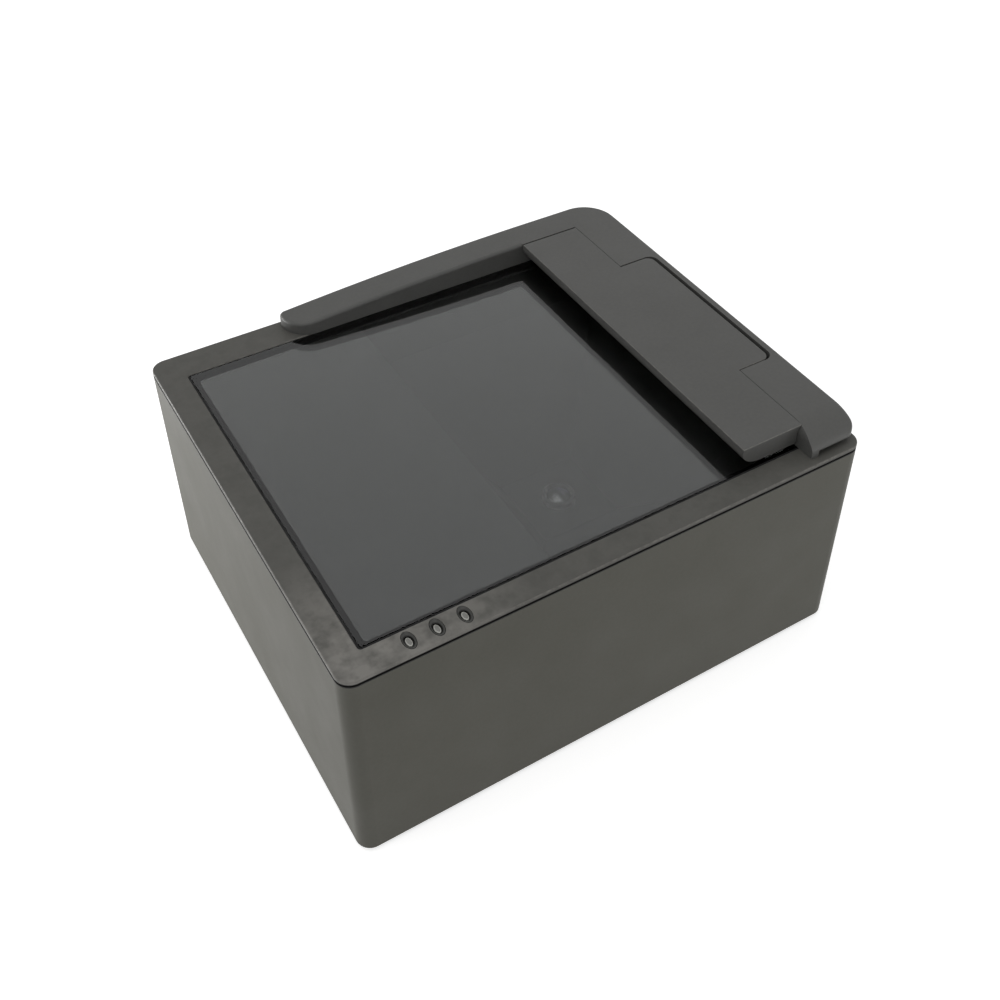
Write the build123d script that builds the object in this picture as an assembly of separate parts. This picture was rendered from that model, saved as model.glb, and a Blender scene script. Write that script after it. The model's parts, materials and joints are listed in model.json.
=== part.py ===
from build123d import *
import math
import os

os.makedirs("parts", exist_ok=True)

# Passport reader for a counter, in millimetres.
# X runs to the right along the front, Y to the back and Z up.
# The origin is on the counter, under the middle of the case.

# Clearances and cuts
nest_gap = 0.3
slip_gap = 0.05
overrun = 1.0

# Case walls
case_width = 183.5
case_depth = 155.0
case_height = 81.5
case_corner = 5.0
wall = 2.5
wall_edge = 0.4
foot_stand = 2.0

# Deck plate
deck_edge = 1.4
deck_bevel = 0.5
groove_height = 0.8
groove_depth = 1.2
deck_web = 2.8
skirt_wall = 1.5
skirt_drop = 4.5

# Corner posts, deck bosses and the long case screws
post_inset = 6.5
post_radius = 4.5
boss_radius = 3.2
boss_drop = 7.2
case_screw_radius = 1.5
case_screw_head_radius = 2.8
case_screw_head = 1.8
case_screw_bite = 5.0

# Base plate and feet
base_web = 3.0
base_boss = 2.8
base_boss_radius = 3.0
foot_radius = 8.0
foot_inset = 22.0
foot_pocket = 1.0
foot_bevel = 0.8
vent_count = 7
vent_length = 28.0
vent_width = 2.0
vent_pitch = 5.0

# Document window
opening_left = 9.3
opening_right = 17.0
opening_front = 8.9
opening_back = 12.2
opening_corner = 1.2
opening_bevel = 0.3
glass_gap = 0.8
glass_web = 3.0
glass_drop = 0.1
gasket_drop = 0.5
gasket_lip = 2.2
gasket_web = 0.8
rim_wall = 1.5

# Window frame under the glass
frame_web = 2.5
frame_left = 5.0
frame_front = 6.9
frame_right = 8.7
frame_back = 10.0
aperture_margin = 3.5
aperture_right_margin = 2.5
page_width = 88.0
page_height = 125.0
page_margin = 3.5

# Small screws
small_screw_radius = 1.0
small_screw_head_radius = 1.8
small_screw_head = 1.2
small_screw_bite = 2.0
socket_share = 0.5
frame_screw_inset_left = 7.0
frame_screw_inset_right = 12.5
frame_screw_place_shares = (0.25, 0.75)
frame_boss_radius = 2.1

# Hood: a back arm and a right arm in one moulding
hood_rise = 8.5
hood_inset = 0.5
hood_side_inset = 1.2
hood_wall = 2.0
hood_left = 47.5
hood_front = 2.8
hood_back_arm = 12.5
hood_corner = 12.5
hood_front_corner = 4.0
hood_end_round = 9.6
hood_end_corner = 2.4
hood_end_drop = 3.9
hood_slope_end = 8.6
hood_edge = 1.2
fender_length = 11.2
fender_drop = 5.5
fender_tuck = 1.5
visor_rise = 2.4
visor_depth = 6.2
visor_foot = 2.9
hood_screw_inset = 6.5
hood_boss_radius = 2.9
hood_back_screw_shares = (0.22, 0.5, 0.8)
hood_side_screw_shares = (0.13, 0.86)

# Press flap and its hinge
hinge_inset = 14.6
hinge_drop = 3.6
stop_radius = 5.23
flap_width = 23.3
flap_front = 10.3
flap_depth = 7.3
flap_lip = 2.0
flap_round_width = 8.0
flap_wall = 1.8
flap_edge = 0.35
tab_front = 41.9
tab_back = 43.9
tab_reach = 9.3
tab_web = 3.5
tab_corner = 3.0
tab_gap = 0.4
tab_end_gap = 1.3
pocket_floor = 1.4
ear_length = 8.5
knuckle_radius = 3.2
pin_radius = 1.0
pin_grip = 7.5
pin_reach = 16.0

# Flap underside
underplate_web = 2.0
underplate_inset = 8.2
pad_inset = 2.0
pad_end_inset = 8.0
flap_boss_radius = 2.4
flap_screw_shares = (0.1, 0.5, 0.9)

# Flap springs
spring_inner = 1.3
spring_outer = 2.2
spring_length = 4.0
spring_wire = 0.5
spring_offset = 2.1
spring_notch_gap = 0.5
spring_arm = 7.0
stop_rib_rise = 1.8
stop_rib_wall = 2.0

# Indicators
indicator_count = 3
indicator_left = 22.4
indicator_front = 4.9
indicator_pitch = 8.7
bezel_half_width = 2.0
bezel_half_length = 3.25
bezel_lip = 0.3
bezel_flange = 1.0
bezel_dish = 0.7
bezel_bore = 1.3
bezel_barrel = 1.8
bezel_barrel_wall = 0.65
pipe_half_width = 0.9
pipe_half_length = 1.6
pipe_ring_gap = 0.35
pipe_drop = 0.55
pipe_dome_share = 0.6
pipe_length = 8.0
indicator_board_web = 1.2
indicator_board_depth = 7.4
indicator_board_front = 3.0
indicator_board_margin = 3.6
indicator_boss_offset = 5.2
indicator_boss_radius = 1.55
indicator_screw_radius = 0.8
indicator_led_width = 1.6
indicator_led_height = 0.8

# Light box under the window
light_wall = 1.5
light_bar_room = 9.0
light_right = 8.7
light_straight = 17.6
camera_well = 34.0
lens_hole_radius = 6.4
light_ear_width = 8.0
light_ear_length = 4.0
light_ear_web = 2.0
light_ear_shares = (0.2, 0.8)
light_board_web = 1.2
light_board_height = 12.0
light_board_margin = 7.5
light_board_drop = 2.0
emitter_count = 9
emitter_margin = 8.0
emitter_size = 3.0
emitter_web = 1.2
diffuser_web = 1.0
diffuser_offset = 5.0
diffuser_height = 15.0

# Camera
board_web = 1.6
camera_board_size = 38.0
camera_board_corner = 2.0
camera_screw_inset = 4.0
lens_holder_size = 16.0
lens_holder_height = 6.0
lens_holder_wall = 2.5
lens_barrel_radius = 6.0
lens_barrel_height = 8.6
lens_barrel_rim = 0.7
lens_reach = 4.5
lens_bore_radius = 4.6
lens_glass_radius = 4.4
lens_glass_height = 1.6
sensor_size = 8.0
sensor_web = 1.0

# Antenna board under the left part of the window
antenna_web = 1.2
antenna_margin = 3.0
antenna_end_margin = 16.0
antenna_corner = 3.0
antenna_screw_inset = 4.0
antenna_trace_web = 0.2
antenna_trace_width = 0.8
antenna_trace_inset = 2.0
antenna_turns = 4

# Main board
main_left = 9.0
main_front = 26.0
main_camera_gap = 7.7
main_back = 12.0
main_corner = 2.0
main_screw_inset = 5.0
chip_size = 16.0
chip_web = 1.4
chip_x_share = 0.62
chip_y_share = 0.42
sink_base = 1.5
sink_height = 7.0
sink_fins = 7
sink_fin = 1.0
memory_width = 10.0
memory_length = 14.0
memory_web = 1.1
memory_shares = ((0.2, 0.3), (0.2, 0.56), (0.8, 0.74))
can_radius = 3.2
can_height = 7.5
can_base = 0.8
can_shares = ((0.62, 0.8), (0.74, 0.86), (0.9, 0.88))
buzzer_radius = 6.0
buzzer_height = 8.5
buzzer_hole_radius = 1.2
buzzer_x_share = 0.15
buzzer_y_share = 0.72
plug_height = 4.0
plug_depth = 4.5
plug_margin = 2.0

# Socket and its surround in the back wall
socket_left = 48.0
socket_width = 12.0
socket_height = 10.8
socket_length = 16.0
socket_mouth_width = 8.5
socket_mouth_height = 7.8
socket_mouth_depth = 9.0
socket_mouth_corner = 1.8
tongue_width = 5.6
tongue_height = 3.1
tongue_length = 8.0
recess_width = 16.0
recess_height = 14.5
recess_depth = 6.0
recess_corner = 1.5
surround_wall = 1.5
surround_flange = 1.8
surround_flange_web = 1.0
surround_edge = 0.3

# Leads inside the case
lead_web = 0.5
lead_bend = 2.5
lead_width = 9.0
lead_rise = 4.0
indicator_lead_width = 5.0
antenna_lead_width = 7.0

# Places worked out from the sizes above
left = -case_width / 2
right = case_width / 2
front = -case_depth / 2
back = case_depth / 2
case_base = foot_stand
deck_top = case_base + case_height
deck_under = deck_top - deck_web
wall_top = deck_top - deck_edge - groove_height
base_top = case_base + base_web
post_top = deck_under - boss_drop
skirt_low = wall_top - skirt_drop
skirt_inset = wall + nest_gap
side_signs = (-1, 1)

window_x = (left + opening_left, right - opening_right)
window_y = (front + opening_front, back - opening_back)
glass_top = deck_top - glass_drop
glass_under = glass_top - glass_web
frame_top = glass_under - gasket_web
frame_under = frame_top - frame_web
frame_x = (left + frame_left, right - frame_right)
frame_y = (front + frame_front, back - frame_back)

hood_top = deck_top + hood_rise
hinge_x = right - hinge_inset
hinge_z = hood_top - hinge_drop
hood_outer_x = right - hood_side_inset
hood_outer_y = back - hood_inset
hood_left_x = left + hood_left
hood_front_y = front + hood_front
hood_stop_x = hinge_x - stop_radius
hood_inner_y = hood_outer_y - hood_back_arm
visor_x = hood_stop_x + visor_foot

flap_radius = stop_radius + nest_gap
flap_right_x = hinge_x - flap_radius
flap_left_x = hinge_x - math.sqrt(flap_radius**2 - hinge_drop**2) - flap_width
flap_y = (front + flap_front, hood_inner_y - tab_gap)
flap_under = hood_top - flap_depth
pad_under = glass_top + slip_gap
tab_y = (front + tab_front, back - tab_back)
tab_right_x = hinge_x + tab_reach
tab_under = hood_top - tab_web
pocket_right_x = tab_right_x + tab_end_gap
pocket_y = (tab_y[0] - tab_gap, tab_y[1] + tab_gap)
pocket_floor_z = deck_top + pocket_floor
ear_y = (pocket_y[0] - ear_length, pocket_y[1] + ear_length)

page_x = hood_stop_x - page_width / 2
page_y = hood_inner_y - page_height / 2
aperture_x = (hood_stop_x - page_width - page_margin, window_x[1] - aperture_right_margin)
aperture_y = (window_y[0] + aperture_margin, window_y[1] - aperture_margin)

light_x = (aperture_x[0] - light_bar_room, right - light_right)
light_y = (aperture_y[0] - light_wall, aperture_y[1] + light_wall)
light_bend_z = frame_under - light_straight
light_board_y = (aperture_y[0] + light_board_margin, aperture_y[1] - light_board_margin)

board_under = base_top + base_boss
board_top = board_under + board_web
camera_half = camera_board_size / 2
holder_top = board_top + lens_holder_height
barrel_top = holder_top + lens_barrel_height
light_floor_z = barrel_top - lens_reach

main_x = (left + main_left, page_x - camera_half - main_camera_gap)
main_y = (front + main_front, back - main_back)
antenna_x = (window_x[0] + antenna_margin, light_x[0] - antenna_margin)
antenna_y = (window_y[0] + antenna_end_margin, window_y[1] - antenna_end_margin)
antenna_under = frame_under - antenna_web

socket_x = left + socket_left
socket_z = board_top + socket_height / 2
recess_floor_y = back - recess_depth

indicator_y = front + indicator_front
indicator_board_top = deck_top - pipe_drop - pipe_length - indicator_led_height
indicator_places = [
    left + indicator_left + step * indicator_pitch for step in range(indicator_count)
]
indicator_boss_places = (
    indicator_places[0] - indicator_boss_offset,
    indicator_places[-1] + indicator_boss_offset,
)


def middle(pair):
    """Halfway between two places."""
    return (pair[0] + pair[1]) / 2


def part_way(pair, share):
    """A place that lies a share of the way from the first to the second."""
    return pair[0] + share * (pair[1] - pair[0])


def block(xs, ys, zs):
    """Box between two corners."""
    size = Box(xs[1] - xs[0], ys[1] - ys[0], zs[1] - zs[0])
    return Pos(middle(xs), middle(ys), middle(zs)) * size


def slab(xs, ys, zs, radius):
    """Box with round upright edges."""
    outline = RectangleRounded(xs[1] - xs[0], ys[1] - ys[0], radius)
    return Pos(middle(xs), middle(ys), zs[0]) * extrude(outline, amount=zs[1] - zs[0])


def grown(pair, amount):
    """The same stretch, longer by an amount at each end."""
    return (pair[0] - amount, pair[1] + amount)


def upright(x, y, zs, radius):
    """Round post or hole along Z."""
    return Pos(x, y, middle(zs)) * Cylinder(radius, zs[1] - zs[0])


def lengthwise(x, z, ys, radius):
    """Round rod or hole along Y."""
    return Pos(x, middle(ys), z) * Rot(90, 0, 0) * Cylinder(radius, ys[1] - ys[0])


def drawn_along_y(outline, ys):
    """Carry an outline drawn in X and Z along Y."""
    return Pos(0, ys[1], 0) * extrude(Plane.XZ * outline, amount=ys[1] - ys[0])


def drawn_along_x(outline, xs):
    """Carry an outline drawn in Y and Z along X."""
    return Pos(xs[0], 0, 0) * extrude(Plane.YZ * outline, amount=xs[1] - xs[0])


def group(solids):
    """Separate solids kept together as one node."""
    return Compound(children=list(solids))


def screw(x, y, seat_z, sense, radius, length, head_radius, head):
    """Cap screw: its head stands on the seat and its shank runs along sense."""
    shank = upright(x, y, sorted((seat_z, seat_z + sense * length)), radius)
    cap = upright(x, y, sorted((seat_z, seat_z - sense * head)), head_radius)
    face_z = seat_z - sense * head
    recess = extrude(RegularPolygon(head_radius * socket_share, 6), amount=head * socket_share)
    if sense < 0:
        recess = Pos(0, 0, -head * socket_share) * recess
    return shank + cap - Pos(x, y, face_z) * recess


def small_screw(x, y, seat_z, sense, grip):
    """Small screw through a plate of the given grip."""
    length = grip + small_screw_bite
    return screw(
        x, y, seat_z, sense, small_screw_radius, length, small_screw_head_radius, small_screw_head
    )


def post_places():
    """The four corner posts."""
    reach_x = case_width / 2 - post_inset
    reach_y = case_depth / 2 - post_inset
    return [(sx * reach_x, sy * reach_y) for sx in side_signs for sy in side_signs]


def foot_places():
    """The four feet."""
    reach_x = case_width / 2 - foot_inset
    reach_y = case_depth / 2 - foot_inset
    return [(sx * reach_x, sy * reach_y) for sx in side_signs for sy in side_signs]


def case_outline(inset, zs):
    """The case's plan drawn in by an inset, between two heights."""
    corner = case_corner - inset
    if corner < nest_gap:
        corner = nest_gap
    xs = (left + inset, right - inset)
    ys = (front + inset, back - inset)
    return slab(xs, ys, zs, corner)


def wall_shell():
    """Four walls in one moulding, with a post in each corner."""
    body = case_outline(0, (case_base, wall_top))
    body = fillet(body.edges().group_by(Axis.Z)[0], wall_edge)
    body -= case_outline(wall, (case_base - overrun, wall_top + overrun))
    for x, y in post_places():
        body += upright(x, y, (base_top, post_top), post_radius)
        bore = case_screw_radius + nest_gap
        body -= upright(x, y, (base_top - overrun, post_top + overrun), bore)
    half_width = recess_width / 2 + surround_wall + nest_gap / 2
    half_height = recess_height / 2 + surround_wall + nest_gap / 2
    cut_x = (socket_x - half_width, socket_x + half_width)
    cut_z = (socket_z - half_height, socket_z + half_height)
    body -= block(cut_x, (back - wall - overrun, back + overrun), cut_z)
    seat_y = (back - surround_flange_web, back + overrun)
    body -= block(grown(cut_x, surround_flange), seat_y, grown(cut_z, surround_flange))
    return body


def base_plate():
    """Bottom cover with feet pockets, vents and bosses for the boards."""
    body = case_outline(skirt_inset, (case_base, base_top))
    for x, y in foot_places():
        pocket = (case_base - overrun, case_base + foot_pocket)
        body -= upright(x, y, pocket, foot_radius + slip_gap)
    for x, y in post_places():
        through = (case_base - overrun, base_top + overrun)
        body -= upright(x, y, through, case_screw_radius + nest_gap)
        head_room = (case_base - overrun, case_base + case_screw_head)
        body -= upright(x, y, head_room, case_screw_head_radius + nest_gap)
    for step in range(vent_count):
        y = (step - (vent_count - 1) / 2) * vent_pitch
        slot_x = (main_x[0] + vent_length, main_x[0] + 2 * vent_length)
        slot_y = (y - vent_width / 2, y + vent_width / 2)
        slot_z = (case_base - overrun, base_top + overrun)
        body -= slab(slot_x, slot_y, slot_z, vent_width / 2 - slip_gap)
    for x, y in board_screw_places():
        body += upright(x, y, (base_top, board_under), base_boss_radius)
        pilot = (board_under - small_screw_bite - nest_gap, board_under + overrun)
        body -= upright(x, y, pilot, small_screw_radius + slip_gap)
    return body


def camera_screw_places():
    """The camera board's four screws."""
    reach = camera_half - camera_screw_inset
    return [(page_x + sx * reach, page_y + sy * reach) for sx in side_signs for sy in side_signs]


def main_screw_places():
    """The main board's four screws."""
    xs = grown(main_x, -main_screw_inset)
    ys = grown(main_y, -main_screw_inset)
    return [(x, y) for x in xs for y in ys]


def board_screw_places():
    """Every board screw that stands on the base plate."""
    return camera_screw_places() + main_screw_places()


def rubber_foot(x, y):
    """One foot, pressed into its pocket."""
    body = upright(x, y, (0, case_base + foot_pocket), foot_radius)
    return fillet(body.edges().group_by(Axis.Z)[0], foot_bevel)


def case_screw(x, y):
    """Long screw from the base plate through a post into the deck."""
    seat_z = case_base + case_screw_head
    length = post_top - seat_z + case_screw_bite
    return screw(
        x, y, seat_z, 1, case_screw_radius, length, case_screw_head_radius, case_screw_head
    )


def frame_screw_places():
    """Screws that hold the window frame to the deck, with their side."""
    xs = (left + frame_screw_inset_left, right - frame_screw_inset_right)
    ys = [part_way(window_y, share) for share in frame_screw_place_shares]
    return [(x, y) for x in xs for y in ys]


def hood_screw_places():
    """Screws that hold the hood to the deck."""
    back_y = back - hood_screw_inset
    side_x = right - hood_screw_inset
    arm_x = (hood_left_x, hood_outer_x)
    arm_y = (hood_front_y, hood_outer_y)
    places = [(part_way(arm_x, share), back_y) for share in hood_back_screw_shares]
    places += [(side_x, part_way(arm_y, share)) for share in hood_side_screw_shares]
    return places


def deck_plate():
    """Top cover: rim, groove, window opening, locating skirt and bosses."""
    body = case_outline(0, (deck_top - deck_edge, deck_top))
    body = fillet(body.edges().group_by(Axis.Z)[-1], deck_bevel)
    body += case_outline(groove_depth, (wall_top, deck_top - deck_edge))
    body += case_outline(skirt_inset, (deck_under, wall_top))
    ring = case_outline(skirt_inset, (skirt_low, deck_under))
    ring -= case_outline(skirt_inset + skirt_wall, (skirt_low - overrun, deck_under + overrun))
    notch_x = grown(indicator_boss_places, indicator_board_margin)
    notch_y = (front, indicator_y + indicator_boss_radius)
    ring -= block(notch_x, notch_y, (skirt_low - overrun, deck_under))
    body += ring
    rim_x = grown(window_x, rim_wall)
    rim_y = grown(window_y, rim_wall)
    body += slab(rim_x, rim_y, (frame_top, deck_under), opening_corner + rim_wall)
    for x, y in post_places():
        body += upright(x, y, (post_top, deck_under), boss_radius)
        pilot = (post_top - overrun, post_top + case_screw_bite + nest_gap)
        body -= upright(x, y, pilot, case_screw_radius + slip_gap)
    for x, y in frame_screw_places():
        body += upright(x, y, (frame_top, deck_under), frame_boss_radius)
    opening = (frame_top - overrun, deck_top + overrun)
    body -= slab(window_x, window_y, opening, opening_corner)
    for x, y in frame_screw_places():
        pilot = (frame_top - overrun, frame_top + small_screw_bite + nest_gap)
        body -= upright(x, y, pilot, small_screw_radius + slip_gap)
    for x, y in hood_screw_places():
        through = (deck_under - overrun, deck_top + overrun)
        body -= upright(x, y, through, small_screw_radius + nest_gap)
    for x in indicator_boss_places:
        body += upright(x, indicator_y, (indicator_board_top, deck_under), indicator_boss_radius)
        pilot = (indicator_board_top - overrun, indicator_board_top + small_screw_bite)
        body -= upright(x, indicator_y, pilot, indicator_screw_radius + slip_gap)
    for x in indicator_places:
        body -= indicator_seat(x)
    opening_edges = body.faces().filter_by(Plane.XY).sort_by(Axis.Z)[-1].inner_wires()
    window_wire = opening_edges.sort_by(lambda wire: wire.length)[-1]
    return chamfer(window_wire.edges(), opening_bevel)


def glass_window():
    """Clear glass that the document lies on."""
    xs = grown(window_x, -glass_gap)
    ys = grown(window_y, -glass_gap)
    return slab(xs, ys, (glass_under, glass_top), opening_corner - glass_gap)


def glass_gasket():
    """Black rubber seat round and under the glass."""
    body = slab(window_x, window_y, (frame_top, deck_top - gasket_drop), opening_corner)
    glass_x = grown(window_x, -glass_gap)
    glass_y = grown(window_y, -glass_gap)
    room = (glass_under, deck_top + overrun)
    body -= slab(glass_x, glass_y, room, opening_corner - glass_gap)
    hole_x = grown(glass_x, -gasket_lip)
    hole_y = grown(glass_y, -gasket_lip)
    hole = (frame_top - overrun, deck_top + overrun)
    return body - slab(hole_x, hole_y, hole, opening_corner)


def window_frame():
    """Plate under the glass, open over the page and closed beside it."""
    body = slab(frame_x, frame_y, (frame_under, frame_top), opening_corner)
    through = (frame_under - overrun, frame_top + overrun)
    body -= slab(aperture_x, aperture_y, through, opening_corner)
    for x, y in post_places():
        body -= upright(x, y, through, boss_radius + nest_gap)
    for x, y in frame_screw_places():
        body -= upright(x, y, through, small_screw_radius + nest_gap)
    for x, y in light_ear_places() + antenna_screw_places():
        pilot = (frame_under - overrun, frame_under + small_screw_bite)
        body -= upright(x, y, pilot, small_screw_radius + slip_gap)
    return body


def hood_plan(inset):
    """The hood's L-shaped plan, drawn in by an inset."""
    x_low = hood_left_x + inset
    x_high = hood_outer_x - inset
    y_low = hood_front_y + inset
    y_high = hood_outer_y - inset
    x_stop = hood_stop_x + inset
    y_stop = hood_inner_y + inset
    end_round = min(hood_end_round - inset, y_high - y_stop - nest_gap)
    corner = hood_corner - inset
    front_corner = hood_front_corner - inset
    sides = [
        Line((x_low, y_high), (x_high - corner, y_high)),
        CenterArc((x_high - corner, y_high - corner), corner, 0, 90),
        Line((x_high, y_high - corner), (x_high, y_low + front_corner)),
        CenterArc((x_high - front_corner, y_low + front_corner), front_corner, 270, 90),
        Line((x_high - front_corner, y_low), (x_stop, y_low)),
        Line((x_stop, y_low), (x_stop, y_stop)),
        Line((x_stop, y_stop), (x_low + end_round, y_stop)),
        CenterArc((x_low + end_round, y_stop + end_round), end_round, 180, 90),
        Line((x_low, y_stop + end_round), (x_low, y_high)),
    ]
    return make_face(Curve() + sides)


def slope_cut(drop):
    """What lies above the back arm's falling top, lowered by a drop."""
    high_x = flap_left_x + hood_slope_end
    bend_x = hood_left_x + hood_end_round + hood_end_corner
    bow_reach = high_x - bend_x
    end_reach = bend_x - hood_left_x
    half_turn = math.atan(hood_end_drop / (bow_reach + 2 * end_reach))
    radius = bow_reach / math.sin(2 * half_turn)
    top_z = hood_top - drop
    bend_z = top_z - bow_reach * math.tan(half_turn)
    far_x = hood_left_x - overrun
    far_z = bend_z - (bend_x - far_x) * math.tan(2 * half_turn)
    over_z = hood_top + overrun
    sides = [
        RadiusArc((bend_x, bend_z), (high_x, top_z), radius),
        Line((high_x, top_z), (high_x, over_z)),
        Line((high_x, over_z), (far_x, over_z)),
        Line((far_x, over_z), (far_x, far_z)),
        Line((far_x, far_z), (bend_x, bend_z)),
    ]
    return drawn_along_y(make_face(Curve() + sides), (hood_inner_y - overrun, back + overrun))


def fender_cut(drop):
    """What lies in front of the right arm's rounded front end."""
    fall = fender_drop + fender_tuck
    length = fender_length / math.sqrt(1 - (fender_tuck / fall) ** 2)
    centre_y = hood_front_y + fender_length
    centre_z = hood_top - fall
    keep = Pos(centre_y, centre_z) * Ellipse(length - drop, fall - drop)
    corner_y = (centre_y - fender_length - overrun, centre_y)
    corner_z = (centre_z, hood_top + overrun)
    around = Polyline(
        (corner_y[0], corner_z[0]),
        (corner_y[1], corner_z[0]),
        (corner_y[1], corner_z[1]),
        (corner_y[0], corner_z[1]),
        close=True,
    )
    outside = make_face(around) - keep
    return drawn_along_x(outside, (hood_stop_x - overrun, right + overrun))


def hood_form():
    """Outside of the hood before it is hollowed."""
    body = extrude(Pos(0, 0, deck_top) * hood_plan(0), amount=hood_rise)
    body -= slope_cut(0)
    body -= fender_cut(0)
    return body


def edges_where(solid, test):
    """The edges whose middle point passes a test."""
    return ShapeList(edge for edge in solid.edges() if test(edge @ 0.5))


def outer_edge(p):
    """Whether the middle of a top edge lies on the hood's outer sides."""
    on_back = p.Y > hood_outer_y - slip_gap
    on_side = p.X > hood_outer_x - hood_front_corner
    on_corner = p.X > hood_outer_x - hood_corner and p.Y > hood_outer_y - hood_corner + slip_gap
    return on_back or on_side or on_corner


def hood_outside():
    """The hood's outside, with the arm beside the flap rounded all round its top."""
    over_slope = hood_top - hood_end_drop - slip_gap
    beside_flap = block(
        (hood_left_x - overrun, flap_left_x),
        (hood_inner_y - overrun, back),
        (deck_top - overrun, hood_top + overrun),
    )
    form = hood_form()
    arm = form & beside_flap
    end_edge = edges_where(
        arm, lambda p: abs(p.X - hood_left_x) + abs(p.Y - hood_outer_y) < slip_gap
    )
    arm = fillet(end_edge, hood_end_corner)
    arm_top = edges_where(arm, lambda p: p.Z > over_slope and p.X < flap_left_x - slip_gap)
    arm = fillet(arm_top, hood_edge)
    rest = form - beside_flap
    rest = fillet(edges_where(rest, lambda p: p.Z > over_slope and outer_edge(p)), hood_edge)
    return arm + rest


def hood_cavity():
    """Hollow under the arms, parted by the ears and by the wall behind the visor."""
    high_z = hood_top - hood_wall
    low_z = deck_top - overrun
    body = extrude(Pos(0, 0, low_z) * hood_plan(hood_wall), amount=high_z - low_z)
    body -= slope_cut(hood_wall)
    body -= fender_cut(hood_wall)
    everywhere_x = (hood_stop_x, right)
    heights = (low_z - overrun, hood_top)
    body -= block(everywhere_x, ear_y, heights)
    visor_back = hood_front_y + visor_depth
    body -= block(everywhere_x, (visor_back, visor_back + hood_wall), heights)
    body -= block((hood_stop_x, visor_x), (hood_front_y, visor_back + hood_wall), heights)
    return body


def stop_trim():
    """What is cut away so that the stop face curves round the hinge."""
    xs = (hood_stop_x - overrun, hinge_x)
    ys = (hood_front_y - overrun, hood_inner_y)
    body = block(xs, ys, (hinge_z, hood_top + overrun))
    return body - lengthwise(hinge_x, hinge_z, grown(ys, overrun), stop_radius)


def spring_stretch(side):
    """Where a flap spring lies along the hinge: side is 0 in front, 1 behind."""
    if side == 0:
        start = tab_y[0] + spring_offset + spring_notch_gap
        return (start, start + spring_length)
    start = tab_y[1] - spring_offset - spring_notch_gap
    return (start - spring_length, start)


def hood_shell():
    """Fixed hood: hollow arms, screw bosses, hinge ears and the tab's pocket."""
    body = hood_outside() - hood_cavity()
    lip_y = (hood_front_y - overrun, hood_front_y + visor_depth)
    body -= block((visor_x, right), lip_y, (deck_top - overrun, deck_top + visor_rise))
    for x, y in hood_screw_places():
        post = upright(x, y, (deck_top, hood_top - hood_wall / 2), hood_boss_radius)
        body += post - slope_cut(hood_wall / 2)
        pilot = (deck_top - overrun, deck_top + small_screw_bite + nest_gap)
        body -= upright(x, y, pilot, small_screw_radius + slip_gap)
    pocket_corner = tab_corner + tab_gap
    pocket_x = (hood_stop_x - overrun - pocket_corner, pocket_right_x)
    body -= slab(pocket_x, pocket_y, (pocket_floor_z, hood_top + overrun), pocket_corner)
    body -= stop_trim()
    through = (ear_y[0] - overrun, ear_y[1] + overrun)
    body -= lengthwise(hinge_x, hinge_z, through, pin_radius + slip_gap / 2)
    rib_x = hinge_x - spring_outer - slip_gap
    for side in (0, 1):
        rib_zs = (pocket_floor_z, pocket_floor_z + stop_rib_rise)
        body += block((rib_x - stop_rib_wall, rib_x), spring_stretch(side), rib_zs)
    return body


def flap_section():
    """The flap's section: flat top, short lip, round lower left, hollow right."""
    lip_z = hood_top - flap_lip
    centre_x = flap_left_x + flap_round_width
    round_height = flap_depth - flap_lip
    top_right_x = flap_left_x + flap_width
    climb = math.degrees(math.asin(hinge_drop / flap_radius))
    sides = [
        Line((top_right_x, hood_top), (flap_left_x, hood_top)),
        Line((flap_left_x, hood_top), (flap_left_x, lip_z)),
        EllipticalCenterArc((centre_x, lip_z), flap_round_width, round_height, 180, arc_size=90),
        Line((centre_x, flap_under), (flap_right_x, flap_under)),
        Line((flap_right_x, flap_under), (flap_right_x, hinge_z)),
        CenterArc((hinge_x, hinge_z), flap_radius, 180 - climb, climb),
    ]
    return make_face(Curve() + sides)


def flap_hollow_section():
    """The hollow inside the flap, open at the bottom for the underplate."""
    lip_z = hood_top - flap_lip
    centre_x = flap_left_x + flap_round_width
    inner_width = flap_round_width - flap_wall
    inner_height = flap_depth - flap_lip - flap_wall
    left_x = flap_left_x + flap_wall
    right_x = flap_right_x - flap_wall
    high_z = hood_top - flap_wall
    ledge_x = flap_left_x + underplate_inset
    low_z = flap_under - overrun
    sides = [
        Line((right_x, high_z), (left_x, high_z)),
        Line((left_x, high_z), (left_x, lip_z)),
        EllipticalCenterArc((centre_x, lip_z), inner_width, inner_height, 180, arc_size=90),
        Line((centre_x, lip_z - inner_height), (ledge_x, lip_z - inner_height)),
        Line((ledge_x, lip_z - inner_height), (ledge_x, low_z)),
        Line((ledge_x, low_z), (right_x, low_z)),
        Line((right_x, low_z), (right_x, high_z)),
    ]
    return make_face(Curve() + sides)


def underplate_x():
    """Where the underplate lies from left to right."""
    low_x = flap_left_x + underplate_inset + nest_gap
    return (low_x, flap_right_x - flap_wall - nest_gap)


def flap_screw_places():
    """Screws that hold the underplate in the flap."""
    x = middle(underplate_x())
    return [(x, part_way(flap_y, share)) for share in flap_screw_shares]


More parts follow.
